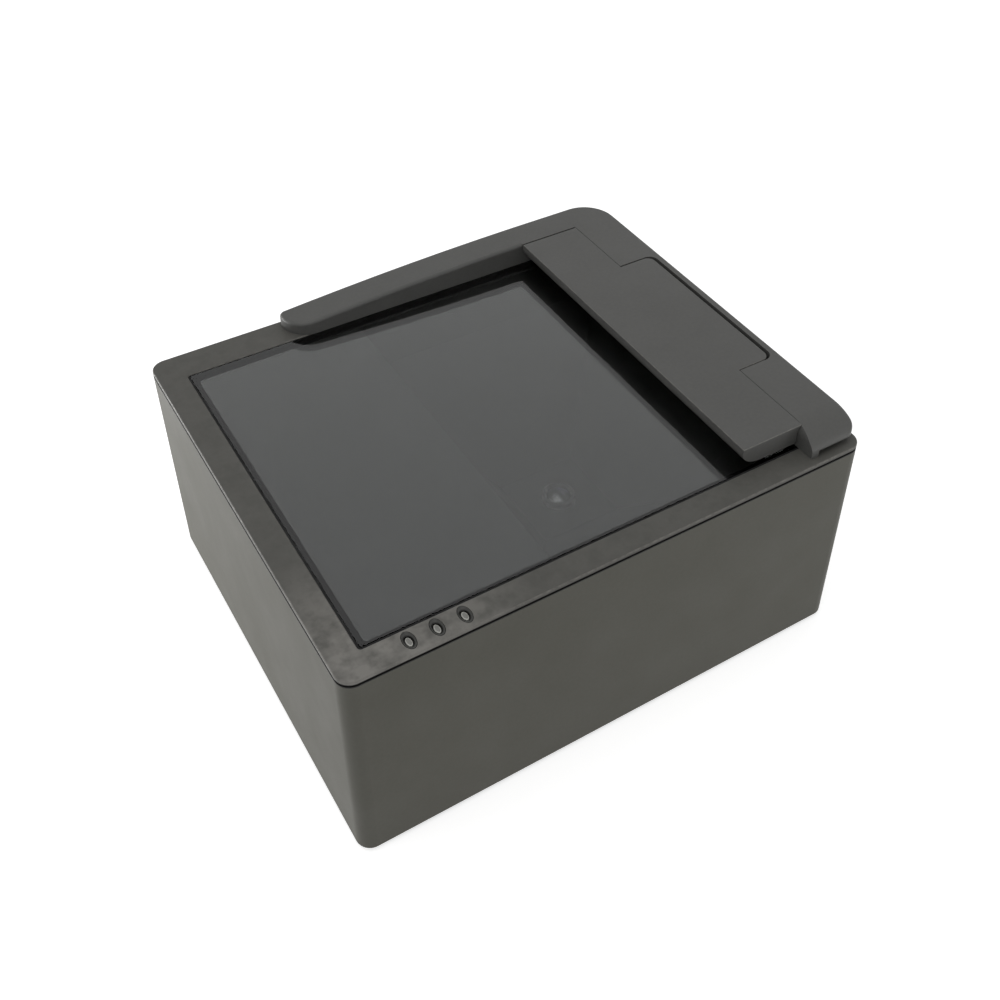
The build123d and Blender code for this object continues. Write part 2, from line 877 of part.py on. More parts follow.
def press_flap():
    """Moving flap that presses the page: hollow body, tab and hinge knuckle."""
    body = drawn_along_y(flap_section(), flap_y)
    tab_x = (flap_right_x - 2 * tab_corner, tab_right_x)
    body += slab(tab_x, tab_y, (tab_under, hood_top), tab_corner)
    line_x = flap_left_x + flap_width
    body = fillet(
        edges_where(
            body,
            lambda p: p.Z > hood_top - slip_gap
            and (abs(p.X - line_x) > slip_gap)
            and (tab_y[0] - slip_gap < p.Y < tab_y[1] + slip_gap or p.X < line_x),
        ),
        flap_edge,
    )
    hollow_y = grown(flap_y, -flap_wall)
    body -= drawn_along_y(flap_hollow_section(), hollow_y)
    body += lengthwise(hinge_x, hinge_z, tab_y, knuckle_radius)
    for side in (0, 1):
        notch_y = grown(spring_stretch(side), spring_notch_gap)
        notch_radius = spring_outer + spring_notch_gap
        body -= lengthwise(hinge_x, hinge_z, notch_y, notch_radius)
        under_x = grown((hinge_x, hinge_x), knuckle_radius)
        body -= block(under_x, notch_y, (hinge_z - knuckle_radius - overrun, tab_under))
    front_bore = (tab_y[0] - overrun, tab_y[0] + pin_reach + nest_gap)
    back_bore = (tab_y[1] - pin_reach - nest_gap, tab_y[1] + overrun)
    for bore_y in (front_bore, back_bore):
        body -= lengthwise(hinge_x, hinge_z, bore_y, pin_radius + slip_gap)
    for x, y in flap_screw_places():
        boss_z = (flap_under + underplate_web, hood_top - flap_wall / 2)
        body += upright(x, y, boss_z, flap_boss_radius)
        pilot = (boss_z[0] - overrun, boss_z[0] + small_screw_bite)
        body -= upright(x, y, pilot, small_screw_radius + slip_gap)
    return body


def flap_underplate():
    """Black plate that closes the flap from below."""
    ys = grown(flap_y, -flap_wall - nest_gap)
    body = block(underplate_x(), ys, (flap_under, flap_under + underplate_web))
    for x, y in flap_screw_places():
        through = (flap_under - overrun, hood_top)
        body -= upright(x, y, through, small_screw_radius + slip_gap)
        head_z = (flap_under - overrun, flap_under + small_screw_head)
        body -= upright(x, y, head_z, small_screw_head_radius + nest_gap)
    return body


def flap_pad():
    """Soft strip under the flap that presses the page onto the glass."""
    xs = grown(underplate_x(), -pad_inset)
    ys = grown(flap_y, -pad_end_inset)
    body = slab(xs, ys, (pad_under, flap_under), pad_inset)
    for x, y in flap_screw_places():
        hole_z = (pad_under - overrun, flap_under + overrun)
        body -= upright(x, y, hole_z, small_screw_head_radius + 2 * nest_gap)
    return body


def flap_screw(x, y):
    """Screw that holds the underplate."""
    grip = underplate_web - small_screw_head
    return small_screw(x, y, flap_under + small_screw_head, 1, grip - nest_gap)


def hinge_pin(side):
    """Steel pin from an ear of the hood into the flap's knuckle."""
    if side == 0:
        ys = (pocket_y[0] - pin_grip, tab_y[0] + pin_reach)
    else:
        ys = (tab_y[1] - pin_reach, pocket_y[1] + pin_grip)
    return lengthwise(hinge_x, hinge_z, ys, pin_radius)


def flap_spring(side):
    """Torsion spring round the pin, with one arm under the tab and one at its rib."""
    ys = spring_stretch(side)
    body = lengthwise(hinge_x, hinge_z, ys, spring_outer)
    arm_x = (hinge_x + spring_inner, hinge_x + spring_arm)
    arm_z = (tab_under - spring_wire, tab_under)
    body += block(arm_x, (ys[0], ys[0] + spring_wire), arm_z)
    leg_x = (hinge_x - spring_outer, hinge_x - spring_outer + spring_wire)
    leg_z = (pocket_floor_z + slip_gap, hinge_z)
    body += block(leg_x, (ys[1] - spring_wire, ys[1]), leg_z)
    return body - lengthwise(hinge_x, hinge_z, grown(ys, overrun), spring_inner)


def oval_face(x, z, sizes):
    """Flat oval at an indicator's place, from its half width and half length."""
    return Pos(x, indicator_y, z) * Ellipse(*sizes)


def oval(x, zs, sizes):
    """Upright oval post or hole at an indicator's place."""
    return extrude(oval_face(x, zs[0], sizes), amount=zs[1] - zs[0])


def bezel_sizes(gap):
    """Half width and half length of a ring's oval, wider by a gap."""
    return (bezel_half_width + gap, bezel_half_length + gap)


def pipe_sizes(gap):
    """Half width and half length of a light pipe's oval, wider by a gap."""
    return (pipe_half_width + gap, pipe_half_length + gap)


def indicator_seat(x):
    """The stepped oval hole in the deck that holds a ring and passes its light pipe."""
    flange_z = (deck_top - bezel_flange, deck_top + overrun)
    barrel_z = (deck_top - bezel_barrel, deck_top)
    body = oval(x, flange_z, bezel_sizes(slip_gap))
    body += oval(x, barrel_z, pipe_sizes(bezel_barrel_wall + slip_gap))
    return body + oval(x, (deck_under - overrun, deck_top), pipe_sizes(slip_gap))


def indicator_bezel(x):
    """Dished oval ring let into the deck."""
    body = oval(x, (deck_top - bezel_flange, deck_top), bezel_sizes(0))
    barrel_z = (deck_top - bezel_barrel, deck_top - bezel_flange)
    body += oval(x, barrel_z, pipe_sizes(bezel_barrel_wall))
    dish_low = deck_top - bezel_dish
    body -= loft([
        oval_face(x, deck_top, bezel_sizes(-bezel_lip)),
        oval_face(x, dish_low, pipe_sizes(pipe_ring_gap)),
    ])
    body -= oval(x, (deck_top - bezel_bore, dish_low), pipe_sizes(pipe_ring_gap))
    through = (deck_top - bezel_barrel - overrun, deck_top)
    return body - oval(x, through, pipe_sizes(slip_gap))


def light_pipe(x):
    """Frosted oval rod that carries an indicator's light up to the deck."""
    high_z = deck_top - pipe_drop
    body = oval(x, (high_z - pipe_length, high_z), pipe_sizes(0))
    tightest = pipe_half_width**2 / pipe_half_length
    return fillet(body.edges().group_by(Axis.Z)[-1], pipe_dome_share * tightest)


def indicator_board():
    """Narrow board under the front of the deck."""
    xs = grown(indicator_boss_places, indicator_board_margin - nest_gap)
    low_y = front + indicator_board_front
    zs = (indicator_board_top - indicator_board_web, indicator_board_top)
    body = block(xs, (low_y, low_y + indicator_board_depth), zs)
    for x in indicator_boss_places:
        body -= upright(x, indicator_y, grown(zs, overrun), indicator_screw_radius + slip_gap)
    return body


def indicator_emitter(x):
    """Small emitter under a light pipe."""
    half = indicator_led_width / 2
    zs = (indicator_board_top, indicator_board_top + indicator_led_height)
    return block((x - half, x + half), (indicator_y - half, indicator_y + half), zs)


def indicator_screw(x):
    """Screw that holds the indicator board."""
    seat_z = indicator_board_top - indicator_board_web
    length = indicator_board_web + small_screw_bite - nest_gap
    radius = indicator_boss_radius
    return screw(x, indicator_y, seat_z, 1, indicator_screw_radius, length, radius, small_screw_head)


def light_ear_places():
    """Screws that hold the light box to the window frame."""
    xs = [part_way(light_x, share) for share in light_ear_shares]
    ys = grown(light_y, light_ear_length / 2)
    return [(x, y) for x in xs for y in ys]


def rectangle_at(xs, ys, z):
    """Flat rectangle between two corners at a height."""
    return Pos(middle(xs), middle(ys), z) * Rectangle(xs[1] - xs[0], ys[1] - ys[0])


def light_box():
    """Black box from the window down to the lens, straight and then tapered."""
    well_x = grown((page_x, page_x), camera_well / 2)
    well_y = grown((page_y, page_y), camera_well / 2)
    body = block(light_x, light_y, (light_bend_z, frame_under))
    body += loft([rectangle_at(light_x, light_y, light_bend_z),
                  rectangle_at(well_x, well_y, light_floor_z)])
    inner_x = grown(light_x, -light_wall)
    inner_y = grown(light_y, -light_wall)
    body -= block(inner_x, inner_y, (light_bend_z, frame_under + overrun))
    floor_z = light_floor_z + light_wall
    body -= loft([rectangle_at(inner_x, inner_y, light_bend_z),
                  rectangle_at(grown(well_x, -light_wall), grown(well_y, -light_wall), floor_z)])
    body -= upright(page_x, page_y, grown((light_floor_z, floor_z), overrun), lens_hole_radius)
    half = light_ear_width / 2
    for x, y in light_ear_places():
        ear_z = (frame_under - light_ear_web, frame_under)
        ear_y_range = grown((y, y), light_ear_length / 2)
        body += block((x - half, x + half), ear_y_range, ear_z)
        body -= upright(x, y, grown(ear_z, overrun), small_screw_radius + slip_gap)
    return body


def bar_wall_x(side):
    """Inner face of the light box behind a light bar, and the way it faces."""
    if side == 0:
        return light_x[0] + light_wall, 1
    return light_x[1] - light_wall, -1


def bar_slice(side, near, far):
    """Stretch in X that lies between two distances from a bar's wall."""
    wall_x, sense = bar_wall_x(side)
    return tuple(sorted((wall_x + sense * near, wall_x + sense * far)))


def light_board(side):
    """Board of one light bar, against the wall of the light box."""
    high_z = frame_under - light_board_drop
    zs = (high_z - light_board_height, high_z)
    return block(bar_slice(side, 0, light_board_web), light_board_y, zs)


def light_emitters(side):
    """Row of emitters on one light board."""
    middle_z = frame_under - light_board_drop - light_board_height / 2
    zs = grown((middle_z, middle_z), emitter_size / 2)
    xs = bar_slice(side, light_board_web, light_board_web + emitter_web)
    solids = []
    for step in range(emitter_count):
        y = part_way(grown(light_board_y, -emitter_margin), step / (emitter_count - 1))
        solids.append(block(xs, grown((y, y), emitter_size / 2), zs))
    return group(solids)


def diffuser(side):
    """Milky strip between a light bar and the page."""
    xs = bar_slice(side, diffuser_offset, diffuser_offset + diffuser_web)
    return block(xs, aperture_y, (frame_under - diffuser_height, frame_under))


def camera_board():
    """Board that carries the image sensor."""
    xs = grown((page_x, page_x), camera_half)
    ys = grown((page_y, page_y), camera_half)
    body = slab(xs, ys, (board_under, board_top), camera_board_corner)
    for x, y in camera_screw_places():
        hole = (board_under - overrun, board_top + overrun)
        body -= upright(x, y, hole, small_screw_radius + slip_gap)
    return body


def image_sensor():
    """Sensor chip under the lens."""
    half = sensor_size / 2
    zs = (board_top, board_top + sensor_web)
    return block(grown((page_x, page_x), half), grown((page_y, page_y), half), zs)


def lens_holder():
    """Square holder round the sensor, threaded for the barrel."""
    half = lens_holder_size / 2
    xs = grown((page_x, page_x), half)
    ys = grown((page_y, page_y), half)
    body = slab(xs, ys, (board_top, holder_top), camera_board_corner)
    neck_radius = half - nest_gap
    body += upright(page_x, page_y, (holder_top, holder_top + lens_holder_wall), neck_radius)
    room_z = (board_top - overrun, holder_top - lens_holder_wall)
    body -= block(grown(xs, -lens_holder_wall), grown(ys, -lens_holder_wall), room_z)
    bore_z = (board_top, holder_top + lens_holder_wall + overrun)
    return body - upright(page_x, page_y, bore_z, lens_barrel_radius + slip_gap)


def lens_barrel():
    """Round barrel of the wide lens."""
    body = upright(page_x, page_y, (holder_top - lens_holder_wall, barrel_top), lens_barrel_radius)
    body = chamfer(body.edges().group_by(Axis.Z)[-1], lens_barrel_rim)
    seat_z = barrel_top - lens_glass_height
    body -= upright(page_x, page_y, (seat_z, barrel_top + overrun), lens_bore_radius)
    inner_radius = lens_bore_radius - lens_barrel_rim
    through = (board_top, barrel_top)
    return body - upright(page_x, page_y, through, inner_radius)


def lens_glass():
    """Domed front lens."""
    seat_z = barrel_top - lens_glass_height
    dome_radius = (lens_glass_radius**2 + lens_glass_height**2) / (2 * lens_glass_height)
    ball = Pos(page_x, page_y, barrel_top - dome_radius) * Sphere(dome_radius)
    return ball & upright(page_x, page_y, (seat_z, barrel_top), lens_glass_radius)


def antenna_screw_places():
    """Screws that hold the antenna board."""
    xs = grown(antenna_x, -antenna_screw_inset)
    ys = grown(antenna_y, -antenna_screw_inset)
    return [(x, y) for x in xs for y in ys]


def antenna_board():
    """Flat board under the closed part of the window frame."""
    zs = (antenna_under, frame_under)
    body = slab(antenna_x, antenna_y, zs, antenna_corner)
    for x, y in antenna_screw_places():
        body -= upright(x, y, grown(zs, overrun), small_screw_radius + slip_gap)
    return body


def antenna_coil():
    """Flat copper spiral on the underside of the antenna board."""
    end_inset = antenna_screw_inset + small_screw_head_radius + antenna_trace_inset
    half_board = (antenna_x[1] - antenna_x[0]) / 2
    pitch = (half_board - antenna_trace_inset - plug_depth / 2) / antenna_turns
    points = []
    for turn in range(antenna_turns):
        xs = grown(antenna_x, -antenna_trace_inset - turn * pitch)
        ys = grown(antenna_y, -end_inset - turn * pitch)
        start_x = xs[0]
        if turn:
            start_x -= pitch
        points += [(start_x, ys[0]), (xs[1], ys[0]), (xs[1], ys[1]), (xs[0], ys[1])]
    outline = trace(Polyline(*points), antenna_trace_width)
    return Pos(0, 0, antenna_under - antenna_trace_web) * extrude(outline, amount=antenna_trace_web)


def main_board():
    """Board with the processor and the socket."""
    body = slab(main_x, main_y, (board_under, board_top), main_corner)
    for x, y in main_screw_places():
        hole = (board_under - overrun, board_top + overrun)
        body -= upright(x, y, hole, small_screw_radius + slip_gap)
    return body


def chip_range():
    """Plan of the processor."""
    x = part_way(main_x, chip_x_share)
    y = part_way(main_y, chip_y_share)
    return grown((x, x), chip_size / 2), grown((y, y), chip_size / 2)


def processor_chip():
    """Processor on the main board."""
    xs, ys = chip_range()
    return block(xs, ys, (board_top, board_top + chip_web))


def heat_sink():
    """Finned sink on the processor."""
    xs, ys = (grown(pair, nest_gap) for pair in chip_range())
    low_z = board_top + chip_web
    body = block(xs, ys, (low_z, low_z + sink_base))
    spread = xs[1] - xs[0] - sink_fin
    for step in range(sink_fins):
        low_x = xs[0] + spread * step / (sink_fins - 1)
        body += block((low_x, low_x + sink_fin), ys, (low_z, low_z + sink_height))
    return body


def memory_chips():
    """Flat chips round the processor."""
    solids = []
    for x_share, y_share in memory_shares:
        x = part_way(main_x, x_share)
        y = part_way(main_y, y_share)
        xs = grown((x, x), memory_width / 2)
        ys = grown((y, y), memory_length / 2)
        solids.append(block(xs, ys, (board_top, board_top + memory_web)))
    return group(solids)


def capacitors():
    """Round capacitors by the socket."""
    solids = []
    for x_share, y_share in can_shares:
        x = part_way(main_x, x_share)
        y = part_way(main_y, y_share)
        half = can_radius + slip_gap
        base_z = (board_top, board_top + can_base)
        foot = block(grown((x, x), half), grown((y, y), half), base_z)
        can = upright(x, y, (base_z[1], board_top + can_height), can_radius)
        solids.append(foot + fillet(can.edges().group_by(Axis.Z)[-1], nest_gap))
    return group(solids)


def buzzer():
    """Round buzzer on the main board."""
    x = part_way(main_x, buzzer_x_share)
    y = part_way(main_y, buzzer_y_share)
    body = upright(x, y, (board_top, board_top + buzzer_height), buzzer_radius)
    hole = (board_top + buzzer_height / 2, board_top + buzzer_height + overrun)
    return body - upright(x, y, hole, buzzer_hole_radius)


def plug_block(x, y, low_z, width_x, width_y):
    """Housing of a lead's connector."""
    xs = grown((x, x), width_x / 2)
    ys = grown((y, y), width_y / 2)
    return block(xs, ys, (low_z, low_z + plug_height))


camera_plug_x = page_x - camera_half + plug_margin + plug_depth / 2
main_plug_x = main_x[1] - plug_margin - plug_depth / 2
indicator_lead_x = middle(indicator_boss_places)
indicator_lead_y = front + indicator_board_front + indicator_board_depth - plug_depth / 2
front_plug_y = main_y[0] + plug_margin + plug_depth / 2
antenna_lead_x = middle(antenna_x)
antenna_lead_y = middle(antenna_y)
plug_top = board_top + plug_height
indicator_plug_low = indicator_board_top - indicator_board_web - plug_height
antenna_plug_low = antenna_under - plug_height


def board_plugs():
    """Connectors of the leads, on the boards."""
    camera_width = lead_width + plug_margin
    indicator_width = indicator_lead_width + plug_margin
    antenna_width = antenna_lead_width + plug_margin
    return group([
        plug_block(camera_plug_x, page_y, board_top, plug_depth, camera_width),
        plug_block(main_plug_x, page_y, board_top, plug_depth, camera_width),
        plug_block(indicator_lead_x, front_plug_y, board_top, indicator_width, plug_depth),
        plug_block(
            indicator_lead_x, indicator_lead_y, indicator_plug_low, indicator_width, plug_depth
        ),
        plug_block(antenna_lead_x, antenna_lead_y, board_top, plug_depth, antenna_width),
        plug_block(antenna_lead_x, antenna_lead_y, antenna_plug_low, plug_depth, antenna_width),
    ])


def camera_lead():
    """Flat lead from the camera board to the main board."""
    high_z = plug_top + lead_rise
    corners = [
        (main_plug_x, plug_top),
        (main_plug_x, high_z),
        (camera_plug_x, high_z),
        (camera_plug_x, plug_top),
    ]
    outline = trace(FilletPolyline(*corners, radius=lead_bend), lead_web)
    return drawn_along_y(outline, grown((page_y, page_y), lead_width / 2))


def indicator_lead():
    """Flat lead down the front wall from the indicators to the main board."""
    high_z = plug_top + lead_rise
    corners = [
        (indicator_lead_y, indicator_plug_low),
        (indicator_lead_y, high_z),
        (front_plug_y, high_z),
        (front_plug_y, plug_top),
    ]
    outline = trace(FilletPolyline(*corners, radius=lead_bend), lead_web)
    return drawn_along_x(outline, grown((indicator_lead_x, indicator_lead_x), indicator_lead_width / 2))


def antenna_lead():
    """Flat lead straight down from the antenna board."""
    xs = grown((antenna_lead_x, antenna_lead_x), lead_web / 2)
    ys = grown((antenna_lead_y, antenna_lead_y), antenna_lead_width / 2)
    return block(xs, ys, (plug_top, antenna_plug_low))


def usb_socket():
    """Metal shell of the square socket, open to the back."""
    xs = grown((socket_x, socket_x), socket_width / 2)
    ys = (recess_floor_y - socket_length, recess_floor_y)
    body = block(xs, ys, (board_top, board_top + socket_height))
    half_width = socket_mouth_width / 2
    half_height = socket_mouth_height / 2
    corner = socket_mouth_corner
    mouth = Polyline(
        (socket_x - half_width, socket_z - half_height),
        (socket_x + half_width, socket_z - half_height),
        (socket_x + half_width, socket_z + half_height - corner),
        (socket_x + half_width - corner, socket_z + half_height),
        (socket_x - half_width + corner, socket_z + half_height),
        (socket_x - half_width, socket_z + half_height - corner),
        close=True,
    )
    mouth_y = (recess_floor_y - socket_mouth_depth, recess_floor_y + overrun)
    return body - drawn_along_y(make_face(mouth), mouth_y)


def usb_tongue():
    """Plastic tongue inside the socket."""
    xs = grown((socket_x, socket_x), tongue_width / 2)
    zs = grown((socket_z, socket_z), tongue_height / 2)
    low_y = recess_floor_y - socket_mouth_depth
    return block(xs, (low_y, low_y + tongue_length), zs)


def socket_surround():
    """Frame let into the back wall, with a recess round the socket."""
    inner_x = grown((socket_x, socket_x), recess_width / 2)
    inner_z = grown((socket_z, socket_z), recess_height / 2)
    outer_x = grown(inner_x, surround_wall)
    outer_z = grown(inner_z, surround_wall)
    body = block(outer_x, (recess_floor_y - surround_wall, back), outer_z)
    flange_y = (back - surround_flange_web, back)
    body += block(grown(outer_x, surround_flange), flange_y, grown(outer_z, surround_flange))
    body = chamfer(body.faces().sort_by(Axis.Y)[-1].edges(), surround_edge)
    outline = RectangleRounded(recess_width, recess_height, recess_corner)
    recess = drawn_along_y(Pos(socket_x, socket_z) * outline, (recess_floor_y, back + overrun))
    gap = nest_gap / 2
    hole_x = grown((socket_x, socket_x), socket_width / 2 + gap)
    hole_z = grown((socket_z, socket_z), socket_height / 2 + gap)
    body -= block(hole_x, grown((recess_floor_y - surround_wall, recess_floor_y), overrun), hole_z)
    return body - recess


def frame_screw(x, y):
    """Screw that holds the window frame."""
    return small_screw(x, y, frame_under, 1, frame_web - nest_gap)


def light_box_screw(x, y):
    """Screw that holds the light box."""
    return small_screw(x, y, frame_under - light_ear_web, 1, light_ear_web - nest_gap)


def antenna_screw(x, y):
    """Screw that holds the antenna board."""
    return small_screw(x, y, antenna_under, 1, antenna_web - nest_gap)


def board_screw(x, y):
    """Screw that holds a board to the base plate."""
    return small_screw(x, y, board_top, -1, board_web - nest_gap)


def hood_screw(x, y):
    """Screw that holds the hood from below the deck."""
    return small_screw(x, y, deck_under, 1, deck_web - nest_gap)


def all_pieces():
    """Every piece of the reader by name."""
    pieces = {
        "wall_shell": wall_shell(),
        "base_plate": base_plate(),
        "deck_plate": deck_plate(),
        "window_frame": window_frame(),
        "glass_gasket": glass_gasket(),
        "glass_window": glass_window(),
        "hood_shell": hood_shell(),
        "press_flap": press_flap(),
        "flap_underplate": flap_underplate(),
        "flap_pad": flap_pad(),
        "hinge_pin_front": hinge_pin(0),
        "hinge_pin_rear": hinge_pin(1),
        "flap_spring_front": flap_spring(0),
        "flap_spring_rear": flap_spring(1),
        "indicator_board": indicator_board(),
        "indicator_emitters": group(indicator_emitter(x) for x in indicator_places),
        "light_box": light_box(),
        "light_board_left": light_board(0),
        "light_board_right": light_board(1),
        "light_emitters_left": light_emitters(0),
        "light_emitters_right": light_emitters(1),
        "diffuser_left": diffuser(0),
        "diffuser_right": diffuser(1),
        "camera_board": camera_board(),
        "image_sensor": image_sensor(),
        "lens_holder": lens_holder(),
        "lens_barrel": lens_barrel(),
        "lens_glass": lens_glass(),
        "antenna_board": antenna_board(),
        "antenna_coil": antenna_coil(),
        "main_board": main_board(),
        "processor_chip": processor_chip(),
        "heat_sink": heat_sink(),
        "memory_chips": memory_chips(),
        "capacitors": capacitors(),
        "buzzer": buzzer(),
        "board_plugs": board_plugs(),
        "usb_socket": usb_socket(),
        "usb_tongue": usb_tongue(),
        "socket_surround": socket_surround(),
        "camera_lead": camera_lead(),
        "indicator_lead": indicator_lead(),
        "antenna_lead": antenna_lead(),
        "rubber_feet": group(rubber_foot(x, y) for x, y in foot_places()),
        "case_screws": group(case_screw(x, y) for x, y in post_places()),
        "frame_screws": group(frame_screw(x, y) for x, y in frame_screw_places()),
        "light_box_screws": group(light_box_screw(x, y) for x, y in light_ear_places()),
        "antenna_screws": group(antenna_screw(x, y) for x, y in antenna_screw_places()),
        "board_screws": group(board_screw(x, y) for x, y in board_screw_places()),
        "hood_screws": group(hood_screw(x, y) for x, y in hood_screw_places()),
        "flap_screws": group(flap_screw(x, y) for x, y in flap_screw_places()),
        "indicator_screws": group(indicator_screw(x) for x in indicator_boss_places),
    }
    for number, x in enumerate(indicator_places, 1):
        pieces[f"indicator_bezel_{number}"] = indicator_bezel(x)
        pieces[f"light_pipe_{number}"] = light_pipe(x)
    return pieces


for name, piece in all_pieces().items():
    export_step(piece, f"parts/{name}.step")
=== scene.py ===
import json
import math

import bpy
from mathutils import Matrix, Vector


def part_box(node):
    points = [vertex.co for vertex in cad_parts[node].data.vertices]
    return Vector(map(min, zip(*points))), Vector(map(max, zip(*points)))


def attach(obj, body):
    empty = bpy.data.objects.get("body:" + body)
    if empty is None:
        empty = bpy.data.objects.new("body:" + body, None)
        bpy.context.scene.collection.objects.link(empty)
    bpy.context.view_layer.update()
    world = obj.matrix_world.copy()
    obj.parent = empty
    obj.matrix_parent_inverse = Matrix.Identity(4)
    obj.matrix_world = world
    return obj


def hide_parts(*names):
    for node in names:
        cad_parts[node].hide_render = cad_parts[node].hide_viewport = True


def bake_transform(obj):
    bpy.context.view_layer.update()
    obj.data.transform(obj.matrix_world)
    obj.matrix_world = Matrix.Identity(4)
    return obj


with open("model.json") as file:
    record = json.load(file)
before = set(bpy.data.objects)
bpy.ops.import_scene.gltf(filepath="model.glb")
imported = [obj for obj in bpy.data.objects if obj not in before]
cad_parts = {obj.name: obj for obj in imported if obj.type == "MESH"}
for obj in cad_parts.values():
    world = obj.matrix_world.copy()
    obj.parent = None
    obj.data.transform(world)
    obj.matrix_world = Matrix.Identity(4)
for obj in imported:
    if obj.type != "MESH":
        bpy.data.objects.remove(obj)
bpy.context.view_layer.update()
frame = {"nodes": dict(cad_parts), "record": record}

MM = 0.001
# Places nearer than a hair count as one, and points nearer than a weld are merged
HAIR = 0.05 * MM
WELD = 0.002 * MM
# Least cosine between a face's normal and the way it looks
STRAIGHT = 0.99
SMOOTH_ANGLE = math.radians(35)

# Camera, turned and shifted as the photograph's was
CAMERA_PLACE = (-0.15843, -0.27572, 0.36068)
CAMERA_RIGHT = (0.8516, -0.5240, 0.0120)
CAMERA_UP = (0.3217, 0.5406, 0.7773)
CAMERA_BACK = (-0.4138, -0.6582, 0.6290)
CAMERA_LENS = 45.83
CAMERA_SENSOR = 36.0
CAMERA_SHIFT = (-0.034, -0.144)
CAMERA_CLIP = (0.01, 50.0)

# Studio. A softbox is its place, its size in metres and its power in watts.
WHITE = (1.0, 1.0, 1.0, 1.0)
WORLD_LIGHT = 0.46
FLOOR_SIZE = 14.0
FLOOR_COLOUR = (0.80, 0.80, 0.80, 1.0)
FLOOR_GLOW = 0.64
SOFTBOXES = {
    "low_left_strip": ((-0.30, 0.28, 0.030), (0.22, 0.05), 0.85),
    "low_right_strip": ((0.42, -0.42, 0.040), (0.3, 0.07), 0.30),
    "top_softbox": ((-0.35, -0.10, 1.5), (1.2, 1.2), 6.0),
}
LIT_POINT = (0.0, 0.0, 0.05)

# Colours as they look under a white light
CASE_GREY = (0.0690, 0.0672, 0.0530)
DECK_GREY = (0.068, 0.067, 0.060)
HOOD_GREY = (0.086, 0.086, 0.082)
RING_GREY = (0.046, 0.046, 0.043)
PIPE_GREY = (0.205, 0.205, 0.19)
# Grey of the dusting, also used for painted highlights
DUST_AND_HIGHLIGHT_GREY = (0.205, 0.198, 0.182)
# Painted shade for the groove under the deck's rim and for the rings' bores
GROOVE_SHADE_GREY = (0.009, 0.009, 0.008)
SOFT_BLACK = (0.014, 0.014, 0.014)
DEEP_BLACK = (0.006, 0.006, 0.006)

# Heights in millimetres of the painted shade under the deck's rim, the painted highlights along
# the top edges of rim and flap, a ring's bore darkened with painted shade and a light pipe's rim
# lightened with a painted highlight
GROOVE_SHADE = (80.96, 82.34)
DECK_RIM_HIGHLIGHT = (82.95, 83.44)
FLAP_EDGE_HIGHLIGHT = (91.78, 91.98)
RING_BORE_SHADE = (81.90, 83.02)
PIPE_RIM_HIGHLIGHT = (82.50, 82.89)

# Where the dusting lies thickest on the deck, painting a brighter sheen there too, and how far it
# spreads from there, in millimetres
DUST_AND_SHEEN_SPOT = (-76.0, -76.0, 83.0)
DUST_AND_SHEEN_REACH = (14.0, 46.0)
DUST_AND_SHEEN_ELSEWHERE = 0.12


def deselect():
    """Leave nothing selected."""
    if bpy.context.object and bpy.context.object.mode != "OBJECT":
        bpy.ops.object.mode_set(mode="OBJECT")
    bpy.ops.object.select_all(action="DESELECT")


# Camera


def make_camera():
    """The photograph's viewpoint."""
    data = bpy.data.cameras.new("camera")
    data.lens = CAMERA_LENS
    data.sensor_width = CAMERA_SENSOR
    data.shift_x, data.shift_y = CAMERA_SHIFT
    data.clip_start, data.clip_end = CAMERA_CLIP
    camera = bpy.data.objects.new("camera", data)
    bpy.context.scene.collection.objects.link(camera)
    turn = Matrix((CAMERA_RIGHT, CAMERA_UP, CAMERA_BACK)).transposed()
    camera.matrix_world = Matrix.Translation(CAMERA_PLACE) @ turn.to_4x4()
    bpy.context.scene.camera = camera


make_camera()
deselect()


# Studio


def background_seen(tree):
    """1 where a ray sees the background itself: straight, mirrored or through glass."""
    seen = tree.nodes.new("ShaderNodeLightPath")
    either = seen.outputs["Is Camera Ray"]
    for ray in ("Is Glossy Ray", "Is Transmission Ray"):
        most = tree.nodes.new("ShaderNodeMath")
        most.operation = "MAXIMUM"
        tree.links.new(either, most.inputs[0])
        tree.links.new(seen.outputs[ray], most.inputs[1])
        either = most.outputs["Value"]
    return either


def make_world():
    """Even white light, and plain white behind the object."""
    world = bpy.data.worlds.new("studio")
    bpy.context.scene.world = world
    world.use_nodes = True
    nodes, links = world.node_tree.nodes, world.node_tree.links
    background = nodes["Background"]
    background.inputs["Color"].default_value = WHITE
    strength = nodes.new("ShaderNodeMapRange")
    strength.inputs["To Min"].default_value = WORLD_LIGHT
    strength.inputs["To Max"].default_value = 1.0
    links.new(background_seen(world.node_tree), strength.inputs["Value"])
    links.new(strength.outputs["Result"], background.inputs["Strength"])


def make_floor():
    """Pale floor that shows white and keeps the object's shadow."""
    bpy.ops.mesh.primitive_plane_add(size=FLOOR_SIZE)
    floor = bpy.context.object
    floor.name = "floor"
    material = bpy.data.materials.new("pale_floor")
    material.use_nodes = True
    nodes, links = material.node_tree.nodes, material.node_tree.links
    nodes.clear()
    out = nodes.new("ShaderNodeOutputMaterial")
    matte = nodes.new("ShaderNodeBsdfDiffuse")
    matte.inputs["Color"].default_value = FLOOR_COLOUR
    glow = nodes.new("ShaderNodeEmission")
    glow.inputs["Color"].default_value = WHITE
    amount = nodes.new("ShaderNodeMath")
    amount.operation = "MULTIPLY"
    amount.inputs[1].default_value = FLOOR_GLOW
    links.new(background_seen(material.node_tree), amount.inputs[0])
    links.new(amount.outputs["Value"], glow.inputs["Strength"])
    both = nodes.new("ShaderNodeAddShader")
    links.new(matte.outputs["BSDF"], both.inputs[0])
    links.new(glow.outputs["Emission"], both.inputs[1])
    links.new(both.outputs["Shader"], out.inputs["Surface"])
    floor.data.materials.append(material)
    deselect()


